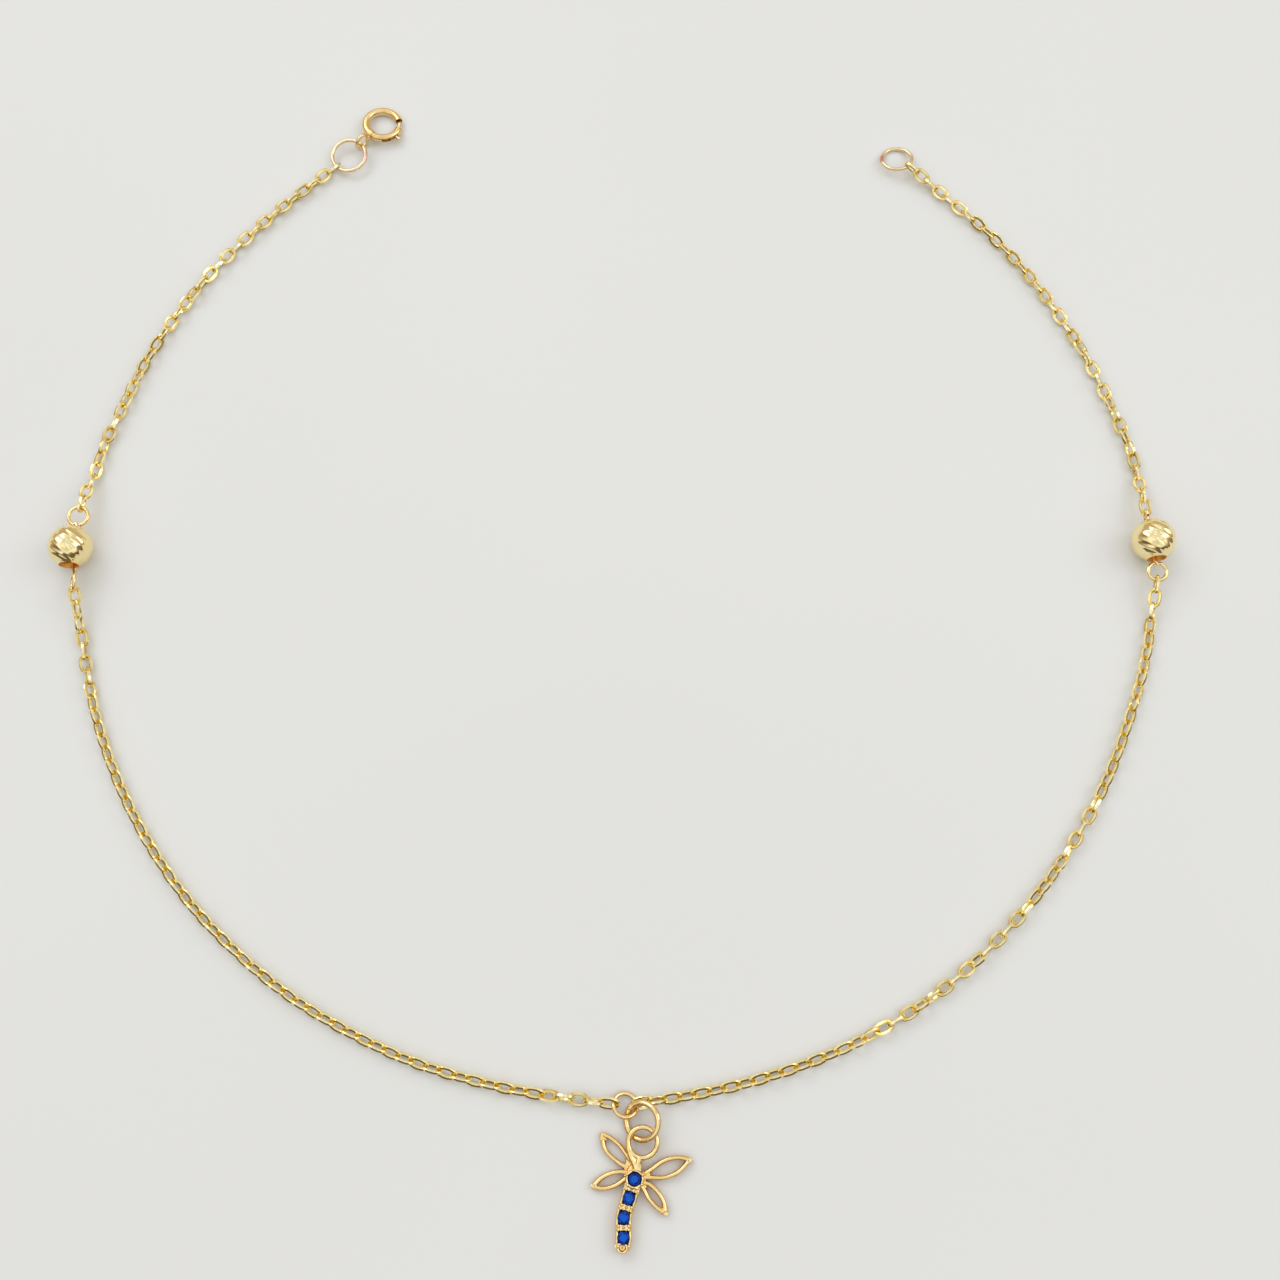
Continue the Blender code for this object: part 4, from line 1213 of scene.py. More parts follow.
@dataclass(frozen=True)
class Clasp:
    """The spring-ring clasp: hollow tube with its gate, slot, collar and tail loop, and the sliding tongue.

    Args:
        centre: Its middle on the floor.
        outer: Its size over the tube.
        tube: The tube's diameter.
        wall: The tube's wall.
        gate: Where the gate begins and ends, in degrees.
        bore_past: How far the bore runs past each side of the gate, in degrees.
        lip: Width of the raised lips beside the gate, in degrees.
        lip_over: How far they overhang the gate, in degrees.
        lip_rise: What they are thicker than the tube.
        mouth: Where the tongue's narrowing seat begins and ends past the gate, in degrees.
        mouth_play: What the seat is narrower than the tube.
        tongue: The tongue's diameter.
        tongue_past: How far it runs into the tube behind and before the gate, in degrees.
        tongue_tip: Size of its tip, as a share.
        tip_steps: Points over which it narrows.
        knob_angle: Heading of the knob at rest.
        knob: The knob's diameter.
        knob_flat: Its height, as a share.
        knob_gap: Room between knob and tube.
        stub: Thickness of the stub that carries it.
        slot: Width of the slot it slides in.
        travel: How far it slides, in degrees.
        tail: The tail loop.
        tail_heading: Heading of the tail loop.
        solder: How far the loop is sunk into the tube.
        collar: Diameter of the collar at the tail.
        collar_half: Half the collar's length, in degrees.
        seam: Size of the solder between collar and loop.
        seam_out: How far its middle lies outside the tube.
        ring_play: Room between the loop and the jump ring.
    """

    centre: Vector
    outer: float = 4.0
    tube: float = 0.72
    wall: float = 0.10
    gate: tuple[float, float] = (-17.0, 19.0)
    bore_past: float = 9.0
    lip: float = 2.6
    lip_over: float = 0.2
    lip_rise: float = 0.05
    mouth: tuple[float, float] = (-2.0, 7.0)
    mouth_play: float = 0.06
    tongue: float = 0.38
    tongue_past: tuple[float, float] = (45.0, 5.0)
    tongue_tip: float = 0.62
    tip_steps: int = 8
    knob_angle: float = -44.0
    knob: float = 0.46
    knob_flat: float = 0.92
    knob_gap: float = 0.06
    stub: float = 0.30
    slot: float = 0.38
    travel: float = 38.0
    tail: RingShape = RingShape(outer=1.90, wire=0.34, steps=48)
    tail_heading: float = 229.5
    solder: float = 0.12
    collar: float = 0.92
    collar_half: float = 8.0
    seam: float = 0.62
    seam_out: float = 0.06
    ring_play: float = 0.12

    @property
    def radius(self) -> float:
        """Radius of the tube's middle line."""
        return (self.outer - self.tube) / 2

    @property
    def tail_reach(self) -> float:
        """From the clasp's middle to the middle of its tail loop."""
        return self.outer / 2 + self.tail.outer / 2 - self.solder

    def pose(self) -> Matrix:
        """Lays the clasp on the side away from its tail and on the tail loop.

        Returns:
            The clasp's pose.
        """
        lean = math.asin((self.tail.outer - self.tube) / 2 / (self.tail_reach + self.radius))
        lying = RingShape(self.outer, self.tube, math.degrees(lean), self.tail_heading)
        return lying.pose(at_height(self.centre, lying.rest_height))

    def bent(
        self, start: float, end: float, diameter: float, steps: int = 64, sides: int = 20,
        sizes: Sequence[float] | None = None, radius: float | None = None,
    ) -> Forge:  # fmt: skip
        """A round bar bent along an arc, by default the tube's middle line.

        Args:
            start: Angle of its start, in degrees.
            end: Angle of its end, in degrees.
            diameter: The bar's diameter.
            steps: Runs along it.
            sides: Sides of its section.
            sizes: Size of the section at each point, as a share.
            radius: Radius of the arc.

        Returns:
            The bar.
        """
        forge = Forge()
        line = arc(radius or self.radius, math.radians(start), math.radians(end), steps)
        forge.sweep(line, diameter, sides=sides, sizes=sizes)
        return forge

    def body_shape(self) -> Forge:
        """The tube with all that is soldered to it.

        Returns:
            The shape in place.
        """
        tail, (low, high) = math.radians(self.tail_heading), self.gate
        loop = Forge()
        loop.sweep(circle(self.tail.radius, self.tail.steps), self.tail.wire, sides=16, closed=True)
        upright = Matrix.Rotation(tail, 4, "Z") @ Matrix.Rotation(math.pi / 2, 4, "X")
        loop.place(Matrix.Translation(polar(self.tail_reach, tail)) @ upright)
        seam = Forge()
        seam.ball(self.seam, polar(self.outer / 2 + self.seam_out, tail))
        ends = (self.tail_heading - self.collar_half, self.tail_heading + self.collar_half)
        collar = self.bent(*ends, self.collar, steps=6)
        spans = ((high - self.lip_over, high + self.lip), (low - self.lip, low + self.lip_over))
        lips = [self.bent(*span, self.tube + self.lip_rise, steps=2) for span in spans]
        bore = self.bent(high - self.bore_past, low + 360 + self.bore_past, self.tube - 2 * self.wall)
        mouth = self.bent(
            *(high + past for past in self.mouth), self.tube - self.mouth_play, steps=6,
            sizes=[1, 1, 0.97, 0.93, 0.89, 0.85, 0.8],
        )  # fmt: skip
        play = math.degrees(math.asin(self.slot / 2 / self.radius))
        slot = self.bent(
            self.knob_angle - self.travel - play, self.knob_angle + play, self.slot, steps=20,
            radius=self.outer / 2 - self.wall,
        )  # fmt: skip
        tube = self.bent(high, low + 360, self.tube, steps=96, sides=28)
        return tube.combine([collar, loop, seam, *lips], [bore, mouth, slot]).place(self.pose())

    def tongue_shape(self) -> Forge:
        """The sliding tongue with its knob.

        Returns:
            The shape in place, at rest.
        """
        (low, high), (behind, before) = self.gate, self.tongue_past
        angle, steps = math.radians(self.knob_angle), 40
        knob_place = polar(self.outer / 2 + self.knob_gap + self.knob / 2, angle)
        stub = Forge()
        stub.bar(self.stub, polar(self.radius, angle), knob_place)
        knob = Forge()
        knob.ball(self.knob, Vector(), flat=self.knob_flat)
        knob.place(Matrix.Translation(knob_place))
        tip, rest = self.tongue_tip, 1 - self.tongue_tip
        sizes = [min(1.0, tip + rest * (steps - i) / self.tip_steps) for i in range(steps + 1)]
        tongue = self.bent(low - behind, high + before, self.tongue, steps, sides=18, sizes=sizes)
        return tongue.combine([stub, knob]).place(self.pose())

    def ring_centre(self, ring: RingShape) -> Vector:
        """Hangs a jump ring in the tail loop.

        Args:
            ring: The jump ring.

        Returns:
            Its middle.
        """
        reach = self.tail_reach + self.tail.inner - ring.wire - self.ring_play + ring.outer / 2
        middle = self.centre + polar(reach, math.radians(self.tail_heading))
        return at_height(middle, (self.tail.outer / 2 + LINK_WIDTH / 2) / 2)

    def make(self, plate: bpy.types.Material, wear_and_highlight: bpy.types.Material) -> None:
        """Makes both pieces of the clasp.

        Args:
            plate: Finish of the tube and the loop.
            wear_and_highlight: Finish of the tongue and its knob, paler than the case's: a painted highlight.
        """
        self.body_shape().deliver("clasp_case", Slot.CLASP, plate, "clasp_body")
        tongue = self.tongue_shape()
        tongue.deliver("clasp_tongue", Slot.CLASP, wear_and_highlight, "clasp_trigger", body=Body.TRIGGER)


@dataclass(frozen=True)
class LeafOutline:
    """An open leaf, in millimetres from the crown's middle.

    Args:
        first: One edge from root to tip.
        second: The other edge from tip to root.
        opening_first: The opening's edge on the first side, from root to tip.
        opening_second: The opening's edge on the second side, from tip to root.
        base: Height of its back.
    """

    first: Pairs
    second: Pairs
    opening_first: Pairs
    opening_second: Pairs
    base: float

    def ridges(self, height: float, steps: int = 24) -> list[list[Vector]]:
        """Lines along the rounded back of the leaf, midway between edge and opening.

        Args:
            height: Height of the lines.
            steps: Runs along each.

        Returns:
            The line of each side.
        """
        lines = []
        for pairs in ((self.first, self.opening_first), (self.second, self.opening_second)):
            sides = [smooth_through(spots(side, height)) for side in pairs]
            places = [[side[i * (len(side) - 1) // steps] for side in sides] for i in range(steps + 1)]
            lines.append([(a + b) / 2 for a, b in places])
        return lines

    def outlines(self) -> list[list[Vector]]:
        """The leaf's edge and its opening, each of two smooth sides that meet in corners."""
        pairs = ((self.first, self.second), (self.opening_first, self.opening_second))
        return [[point for side in sides for point in smooth_through(spots(side), 6)] for sides in pairs]


LEAVES = (
    LeafOutline(
        first=((0.25, 0.95), (-0.15, 1.52), (-0.72, 2.16), (-1.42, 2.92), (-2.20, 3.48), (-2.80, 3.62)),
        second=((-2.84, 3.10), (-2.68, 2.50), (-2.30, 1.92), (-1.56, 1.26), (-0.78, 0.74), (-0.20, 0.50)),
        opening_first=((-0.72, 1.22), (-0.74, 1.62), (-0.98, 2.14), (-1.50, 2.70), (-2.14, 3.16)),
        opening_second=((-2.34, 2.94), (-2.26, 2.36), (-1.92, 1.94), (-1.42, 1.54), (-0.86, 1.20)),
        base=0.10,
    ),
    LeafOutline(
        first=((-0.30, 0.66), (-0.90, 0.74), (-1.60, 0.70), (-2.30, 0.50), (-3.00, 0.10), (-3.58, -0.50)),
        second=(
            (-3.52, -0.66), (-2.86, -0.90), (-2.20, -0.86), (-1.55, -0.68), (-0.95, -0.34), (-0.30, 0.10),
        ),  # fmt: skip
        opening_first=((-0.86, 0.36), (-1.50, 0.36), (-2.10, 0.18), (-2.62, -0.12), (-2.98, -0.46)),
        opening_second=((-2.94, -0.56), (-2.40, -0.54), (-1.86, -0.42), (-1.34, -0.16), (-0.88, 0.22)),
        base=0.15,
    ),
    LeafOutline(
        first=((0.30, -0.10), (1.10, -0.02), (1.95, -0.10), (2.80, 0.02), (3.70, 0.42), (4.66, 1.36)),
        second=((4.74, 1.54), (3.92, 1.80), (2.84, 1.76), (1.90, 1.38), (1.22, 0.88), (0.40, 0.40)),
        opening_first=((1.24, 0.36), (1.90, 0.24), (2.70, 0.36), (3.46, 0.74), (4.06, 1.34)),
        opening_second=((4.00, 1.44), (3.20, 1.46), (2.46, 1.22), (1.82, 0.82), (1.28, 0.44)),
        base=0.20,
    ),
    LeafOutline(
        first=((0.20, -0.40), (0.62, -0.86), (0.96, -1.46), (1.52, -2.10), (2.02, -2.54), (2.52, -2.86)),
        second=((2.68, -2.80), (2.62, -2.10), (2.34, -1.40), (1.84, -0.74), (1.20, -0.22), (0.44, 0.02)),
        opening_first=((0.94, -0.66), (1.10, -1.18), (1.46, -1.68), (2.10, -2.22)),
        opening_second=((2.22, -2.14), (2.10, -1.60), (1.74, -1.06), (1.32, -0.66), (1.00, -0.56)),
        base=0.25,
    ),
)


CHARM_LOOP = RingShape(outer=2.75, wire=0.38, steps=64)


@dataclass(frozen=True)
class PalmCharm:
    """The cast palm tree, its loop and its four set stones.

    Args:
        crown: Middle of the crown on the floor.
        loop_height: Height of the loop's middle.
        loop: The loop that the charm hangs by.
        loop_shift: From the crown's middle to the loop's.
        trunk: Places of the stones, from the crown's middle.
        foot: End of the trunk's middle line.
        width: Width of the trunk.
        top: Height of the stones' girdles.
        stone: Width of a stone.
        seat: Room round a stone.
        pavilion: Depth of a seat, as a share of the stone.
        face: How far the trunk's face lies below the girdles.
        dimple: Place of the dimple in the foot.
        pits: Radius of the dimple and of the pits between the stones.
        crown_rim: Radius of the crown's plate, in radii of the stone.
        bezel: Radius of the bezel in the same measure, its height and its wire.
        rail: Distance of the rails from the trunk's edge and below the top, and their wire.
        foot_ring: Radius, distance below the top and wire of the ring round the dimple.
        back: Height of the crown's back.
        overlap: How far stacked plates run into each other.
        leaf: Thickness of a leaf's plate.
        ridge: Height of a leaf's rounded back over its own, and its wire.
        grains: Sizes of the grains in the dimple, round the crown and foot, and between stones.
        grain_rise: Height of the dimple's grain over the seats' floor.
        pair: Distance of the grains between stones from the edge, from their middle and over the top.
        foot_pair: The same of the two grains at the foot: down from the stone, sideways, and up.
        crown_grains: Radius and height of the grains round the crown.
        crown_headings: Headings of these, in degrees.
        taper: Middle line of the thick taper, below the loop.
        taper_wire: Its thickness under the loop, and what it gains by its foot, as a share.
        post: Foot of the first post, and its thickness.
        second_post: The same of the second.
        voxel: Cell of the skin that joins the parts.
        melting: Strength and passes of its smoothing.
        kept: Share of its faces that is kept.
    """

    crown: Vector
    loop_height: float
    loop: RingShape = CHARM_LOOP.stouter()
    loop_shift: Vector = Vector((0.65, 2.82, 0))
    trunk: Pairs = ((0.0, 0.0), (-0.46, -1.44), (-0.87, -2.91), (-0.88, -4.44))
    foot: tuple[float, float] = (-0.95, -4.94)
    width: float = 1.30
    top: float = 1.0
    stone: float = 1.04
    seat: float = 0.035
    pavilion: float = 0.42
    face: float = 0.08
    dimple: tuple[float, float] = (-0.97, -5.18)
    pits: tuple[float, float] = (0.26, 0.11)
    crown_rim: float = 1.42
    bezel: tuple[float, float, float] = (1.24, 1.05, 0.19)
    rail: tuple[float, float, float] = (0.13, 0.09, 0.24)
    foot_ring: tuple[float, float, float] = (0.36, 0.06, 0.20)
    back: float = 0.05
    overlap: float = 0.02
    leaf: float = 0.36
    ridge: tuple[float, float] = (0.33, 0.36)
    grains: tuple[float, float, float] = (0.18, 0.27, 0.29)
    grain_rise: float = 0.14
    pair: tuple[float, float, float] = (0.24, 0.14, 0.05)
    foot_pair: tuple[float, float, float] = (0.62, 0.42, -0.02)
    crown_grains: tuple[float, float] = (0.70, 1.08)
    crown_headings: tuple[int, ...] = (28, 100, 148, 215, 325)
    taper: Sequence[tuple[float, float, float]] = (
        (-0.30, 1.75, 0.74),
        (0.02, 1.10, 0.66),
        (0.12, 0.55, 0.60),
    )
    taper_wire: tuple[float, float] = (0.40, 0.45)
    post: tuple[tuple[float, float, float], float] = ((0.40, 0.62, 0.70), 0.36)
    second_post: tuple[tuple[float, float, float], float] = ((0.10, 0.45, 0.62), 0.56)
    voxel: float = 0.030
    melting: tuple[float, int] = (0.5, 2)
    kept: float = 0.6

    def _edges(self, half: float, steps: int = 6) -> tuple[list[Vector], list[Vector]]:
        """Draws the sides of the trunk.

        Args:
            half: Half the width between them.
            steps: Runs between two stones.

        Returns:
            The left side and the right side, from the crown down.
        """
        line = smooth_through(spots((*self.trunk, self.foot)), steps)
        left, right = [], []
        for i, point in enumerate(line):
            ahead = line[min(i + 1, len(line) - 1)] - line[max(i - 1, 0)]
            across = Vector((-ahead.y, ahead.x, 0)).normalized() * half
            left.append(point + across)
            right.append(point - across)
        return left, right

    def _outline(self, half: float) -> list[Vector]:
        """Draws the trunk's edge with its round foot.

        Args:
            half: Half its width.

        Returns:
            The closed line.
        """
        left, right = self._edges(half)
        final = left[-1] - right[-1]
        heading = math.atan2(final.y, final.x)
        middle = (left[-1] + right[-1]) / 2
        foot = [middle + point for point in arc(half, heading, heading - math.pi, 16)[1:-1]]
        return [*left, *foot, *reversed(right)]

    def cast_shape(self) -> Forge:
        """The casting before it is cleaned up: plates, rails, prongs, posts and loop.

        Returns:
            The parts of the casting, overlapping each other.
        """
        forge = Forge()
        stones = spots(self.trunk)
        seats = [[place + point for point in circle(self.stone / 2 + self.seat, 28)] for place in stones]
        seat_floor = self.top - self.pavilion * self.stone - self.seat
        trunk, dimple = self._outline(self.width / 2), Vector((*self.dimple, 0))
        forge.plate([trunk], 0.0, seat_floor)
        wide, narrow = self.pits
        pits = [[dimple + point for point in circle(wide, 16)]]
        for upper, lower in zip(stones, stones[1:]):
            pits.append([(upper + lower) / 2 + point for point in circle(narrow, 12)])
        forge.plate([trunk, *seats, *pits], seat_floor - self.overlap, self.top - self.face, bevel=0.07)
        rim = [point * self.crown_rim for point in circle(self.stone / 2, 32)]
        forge.plate([rim, seats[0]], self.back, self.top, bevel=0.05)
        share, height, wire = self.bezel
        bezel = [point * share + UP * height for point in circle(self.stone / 2, 48)]
        forge.sweep(bezel, wire, sides=12, closed=True)
        forge.plate([rim], self.back, seat_floor)
        inward, below, wire = self.rail
        for edge in self._edges(self.width / 2 - inward):
            forge.sweep([point + UP * (self.top - below) for point in edge[4:]], wire, sides=12)
        radius, below, wire = self.foot_ring
        ring = [dimple + point + UP * (self.top - below) for point in circle(radius, 24)]
        forge.sweep(ring, wire, sides=12, closed=True)
        forge.ball(self.grains[0], dimple + UP * (seat_floor + self.grain_rise))
        self._prongs(forge, stones)
        over, wire = self.ridge
        for leaf in LEAVES:
            forge.plate(leaf.outlines(), leaf.base, leaf.base + self.leaf, bevel=0.10)
            for ridge in leaf.ridges(leaf.base + over):
                forge.sweep(ridge, wire, sides=12)
        self._hanger(forge)
        return forge

    def _prongs(self, forge: Forge, stones: Sequence[Vector]) -> None:
        """The little beads that hold the stones.

        Args:
            forge: The casting, which they are added to.
            stones: Places of the stones.
        """
        _, at_ends, between = self.grains
        inward, apart, rise = self.pair
        for upper, lower in zip(stones, stones[1:]):
            down = (lower - upper).normalized()
            across = Vector((-down.y, down.x, 0)) * (self.width / 2 - inward)
            for side in (1, -1):
                for along in (-apart, apart):
                    place = (upper + lower) / 2 + side * across + down * along
                    forge.ball(between, place + UP * (self.top + rise))
        down, apart, rise = self.foot_pair
        below = stones[-1] + (stones[-1] - stones[-2]).normalized() * down
        for side in (1, -1):
            forge.ball(at_ends, below + Vector((side * apart, 0, self.top + rise)))
        radius, height = self.crown_grains
        for angle in self.crown_headings:
            forge.ball(at_ends, polar(radius, math.radians(angle)) + UP * height)

    def _hanger(self, forge: Forge) -> None:
        """The loop, the thick taper on its left and the short posts under it.

        Args:
            forge: The casting, which they are added to.
        """
        centre, radius = self.loop_shift + UP * self.loop_height, self.loop.radius
        ring = [centre + point for point in circle(radius, self.loop.steps)]
        forge.sweep(ring, self.loop.wire, sides=16, closed=True)
        taper = [
            centre + polar(radius, math.radians(168)),
            centre + polar(radius + 0.04, math.radians(196)),
            *(Vector(place) for place in self.taper),
        ]
        line = smooth_through(taper, 8)
        wire, gain = self.taper_wire
        sizes = [1.0 + gain * i / (len(line) - 1) for i in range(len(line))]
        forge.sweep(line, wire, sizes=sizes)
        top, foot = centre + polar(radius, math.radians(-100)), Vector(self.post[0])
        forge.sweep([top, (top + foot) / 2, foot], self.post[1], sides=12)
        top, foot = centre + polar(1.0, math.radians(-102)) * 1.05, Vector(self.second_post[0])
        forge.sweep([top, foot], self.second_post[1], sides=12)

    def make(self, plate: bpy.types.Material) -> None:
        """Melts the casting into one smooth skin and sets it in place.

        Args:
            plate: Its finish.
        """
        draft = self.cast_shape().draft("casting")
        skin = draft.modifiers.new("one skin", "REMESH")
        skin.mode, skin.voxel_size = "VOXEL", self.voxel
        melt = draft.modifiers.new("polish", "SMOOTH")
        melt.factor, melt.iterations = self.melting
        draft.modifiers.new("fewer faces", "DECIMATE").ratio = self.kept
        # Painted shade on the casting's surfaces that turn away from above.
        forge = Forge.taken(draft).shade_sides()
        forge.place(Matrix.Translation(self.crown))
        forge.deliver("palm_casting", Slot.RING, plate, "palm_charm", sharp=70.0)

    def set_stones(self, finish: bpy.types.Material) -> None:
        """Cuts the stones and sets each in its seat.

        Args:
            finish: Their material.
        """
        chance = random.Random(STONE_SEED)
        for number, place in enumerate(spots(self.trunk), 1):
            forge = self.stone_shape(chance)
            forge.place(Matrix.Translation(self.crown + place + UP * self.top))
            forge.deliver(f"cut_stone_{number}", Slot.STONE, finish, f"stone_{number}", sharp=1.0)

    def stone_shape(self, chance: random.Random) -> Forge:
        """A round cut stone: table, star and kite facets, girdle and pavilion.

        Args:
            chance: Source of each facet's painted brightness.

        Returns:
            The stone about its girdle's middle.
        """
        forge = Forge()
        shape = forge.shape
        radius = self.stone / 2
        rows = (  # corners in the row, share of the radius, share of the width in height, offset
            (8, 0.55, 0.170, 0.0), (8, 0.80, 0.118, 0.5), (16, 1.0, 0.02, 0.0), (16, 1.0, -0.02, 0.0),
            (8, 0.48, -0.24, 0.5), (8, 0.10, -0.39, 0.0),
        )  # fmt: skip
        turn = chance.uniform(0, math.tau / 8)
        for count, share, height, offset in rows:
            for i in range(count):
                angle = turn + math.tau * (i + offset) / count
                shape.verts.new((*polar(radius * share, angle).xy, height * self.stone))
        bmesh.ops.convex_hull(shape, input=shape.verts)
        flat = math.radians(0.5)
        bmesh.ops.dissolve_limit(shape, angle_limit=flat, verts=shape.verts, edges=list(shape.edges))
        tones = shape.verts.layers.float.new(PAINTED_FACET_LIGHT)
        bmesh.ops.split_edges(shape, edges=shape.edges)
        # Painted light: the upward table is painted light, the other facets darker at random.
        for face in shape.faces:
            tone = chance.uniform(0.75, 1.0) if face.normal.z > 0.95 else chance.uniform(0.0, 0.7)
            for vert in face.verts:
                vert[tones] = tone
        return forge


@dataclass(frozen=True)
class Softbox:
    """A large soft light.

    Args:
        name: Its name.
        place: Its middle, in metres.
        size: Its width and height, in metres.
        power: Its power, in watts.
        colour: Its colour.
    """

    name: str
    place: tuple[float, float, float]
    size: tuple[float, float]
    power: float
    colour: tuple[float, float, float] = (1.0, 1.0, 1.0)

    def make(self) -> None:
        """Hangs the light and turns it to the anklet."""
        data = bpy.data.lights.new(self.name, "AREA")
        data.shape = "RECTANGLE"
        data.size, data.size_y = self.size
        data.energy, data.color = self.power, self.colour
        obj = add_to_scene(self.name, data)
        obj.location = self.place
        obj.rotation_euler = facing(-Vector(self.place), "-Z").to_euler()


@dataclass(frozen=True)
class Studio:
    """Pale floor, soft light and the camera at the photograph's angle.

    Args:
        target: What the camera looks at, in metres.
        camera_offset: From there to the camera.
        lens: The lens, in millimetres.
        sensor: Width of the sensor, in millimetres.
        clip: Nearest and farthest distance that it sees.
        floor_size: Length of the floor's sides, in metres.
        floor_colour: Its colour.
        floor_shade: Share of it that is left in the faint clouds.
        floor_clouds: Such clouds to the metre.
        floor_gloss: Its roughness and the level of its mirror light.
        ceiling: Brightness overhead.
        ceiling_edge: Upward share where the ceiling begins and is full.
        ceiling_clouds: Least share of its brightness, and what the clouds add.
        wall_behind: Brightness of the wall behind.
        wall_in_front: Brightness of the wall in front.
        wall_edge: Where one wall goes over into the other.
        wall_tint: Colour of the walls.
        ceiling_tint: Colour of the ceiling.
        lights: The lights.
    """

    target: Vector = Vector((2.495, -1.84, 0)) * MM
    camera_offset: Vector = Vector((0, -41.73, 136.48)) * MM
    lens: float = 45.0
    sensor: float = 36.0
    clip: tuple[float, float] = (0.005, 10.0)
    floor_size: float = 2.4
    floor_colour: Colour = (0.80, 0.82, 0.821)
    floor_shade: float = 0.985
    floor_clouds: float = 14.0
    floor_gloss: tuple[float, float] = (0.55, 0.25)
    ceiling: float = 0.93
    ceiling_edge: tuple[float, float] = (0.28, 0.68)
    ceiling_clouds: tuple[float, float] = (0.78, 0.44)
    wall_behind: float = 0.55
    wall_in_front: float = 0.15
    wall_edge: tuple[float, float] = (-0.6, 0.5)
    wall_tint: Colour = (1.0, 0.80, 0.58)
    ceiling_tint: Colour = (1.0, 0.995, 0.985)
    lights: tuple[Softbox, ...] = (
        Softbox("window", (-0.42, 0.50, 0.62), (0.58, 0.46), 1.4),
        Softbox("fill", (0.60, 0.10, 0.50), (0.40, 0.50), 0.8, (1.0, 0.985, 0.96)),
    )

    def camera(self) -> None:
        """Sets up the camera."""
        data = bpy.data.cameras.new("camera")
        data.lens, data.sensor_width = self.lens, self.sensor
        data.clip_start, data.clip_end = self.clip
        obj = add_to_scene("camera", data)
        obj.location = self.target + self.camera_offset
        obj.rotation_euler = facing(-self.camera_offset, "-Z").to_euler()
        bpy.context.scene.camera = obj

    def floor(self) -> None:
        """Lays the floor."""
        grid = Forge()
        bmesh.ops.create_grid(grid.shape, x_segments=1, y_segments=1, size=self.floor_size / 2)
        material = bpy.data.materials.new("pale_floor")
        graph = Graph(material)
        clouds = graph.noise(self.floor_clouds, 2.0).smooth(0.3, 0.7)
        shaded = tuple(part * self.floor_shade for part in self.floor_colour)
        graph.set("Base Color", graph.mix(clouds, rgba(self.floor_colour), rgba(shaded)))
        for name, value in zip(("Roughness", "Specular IOR Level"), self.floor_gloss):
            graph.set(name, value)
        obj = add_to_scene("floor", grid.mesh("floor"))
        obj.data.materials.append(material)

    def sky(self) -> None:
        """Lights the room: a bright ceiling, a dim wall behind and a dark one in front."""
        world = bpy.data.worlds.new("room")
        bpy.context.scene.world = world
        graph = Graph(world)
        direction = graph.node("ShaderNodeTexCoord", {}, {}, "Generated")
        axes = ("Y", "Z")
        along, up = (graph.node("ShaderNodeSeparateXYZ", {}, {0: direction}, axis) for axis in axes)
        contrast = self.wall_behind - self.wall_in_front
        walls = self.wall_in_front + along.smooth(*self.wall_edge) * contrast
        high = up.smooth(*self.ceiling_edge)
        least, added = self.ceiling_clouds
        clouds = least + graph.noise(3.0, 1.0, direction).smooth(*SOFT_PATCHES) * added
        graph.set("Strength", walls + high * (self.ceiling * clouds - walls))
        graph.set("Color", graph.mix(high, rgba(self.wall_tint), rgba(self.ceiling_tint)))

    def make(self) -> None:
        """Sets up the whole studio."""
        self.camera()
        self.floor()
        self.sky()
        for light in self.lights:
            light.make()
        bpy.context.scene.view_settings.view_transform = "Standard"


LEFT_BEAD = CutBead(
    side="left", place=on_floor(-0.9989, 0.1324), heading=91.8, lean=-40,
    upper=Eye(outer=2.10, reach=3.02, roll=0), lower=Eye(outer=2.10, reach=3.28, roll=65), turn=10.0,
)  # fmt: skip
RIGHT_BEAD = CutBead(
    side="right", place=on_floor(1.0011, 0.1458), heading=95.1, lean=-90,
    upper=Eye(outer=1.15, reach=2.62, roll=90), lower=Eye(outer=2.00, reach=2.82, roll=0), turn=40.0,
)  # fmt: skip
CLASP = Clasp(centre=on_floor(-0.4701, 1.0975))
CLASP_RING = RingShape(outer=3.66, wire=0.38, slit=-60)
END_RING = RingShape(outer=3.27, wire=0.36, tilt=16, raised=-75, facets=0.012)
CENTRE_RING = RingShape(outer=2.35, wire=0.36, tilt=22, raised=-125)
CHARM_RING = RingShape(outer=3.40, wire=0.45, tilt=29, raised=16, slit=140, gap=0.10, shift=0.10)
END_RING_PLACE = on_floor(0.5703, 1.0132)
CENTRE_RING_PLACE = on_floor(0.0278, -0.9025)

CHARM_RING_TURN = -42.6  # heading of the charm ring from the centre ring
CHARM_RING_OVERLAP = 0.215  # how far the holes of the two overlap, seen flat
CHARM_LOOP_TURN = -88  # heading of the charm's loop from the charm ring
CHARM_LOOP_OVERLAP = 0.606  # how far the holes of these two overlap
CLASP_RING_JOINT = -8  # heading of its solder
END_RING_JOINT = 178
RIGHT_CLIMB = 1.3  # over which the lower right strand climbs to the centre ring
HOOK_LIFT = 0.02  # by which the links lie above the middle of the centre ring's wire
STONE_SEED = 7
FIRST_STRAND_SEED = 11

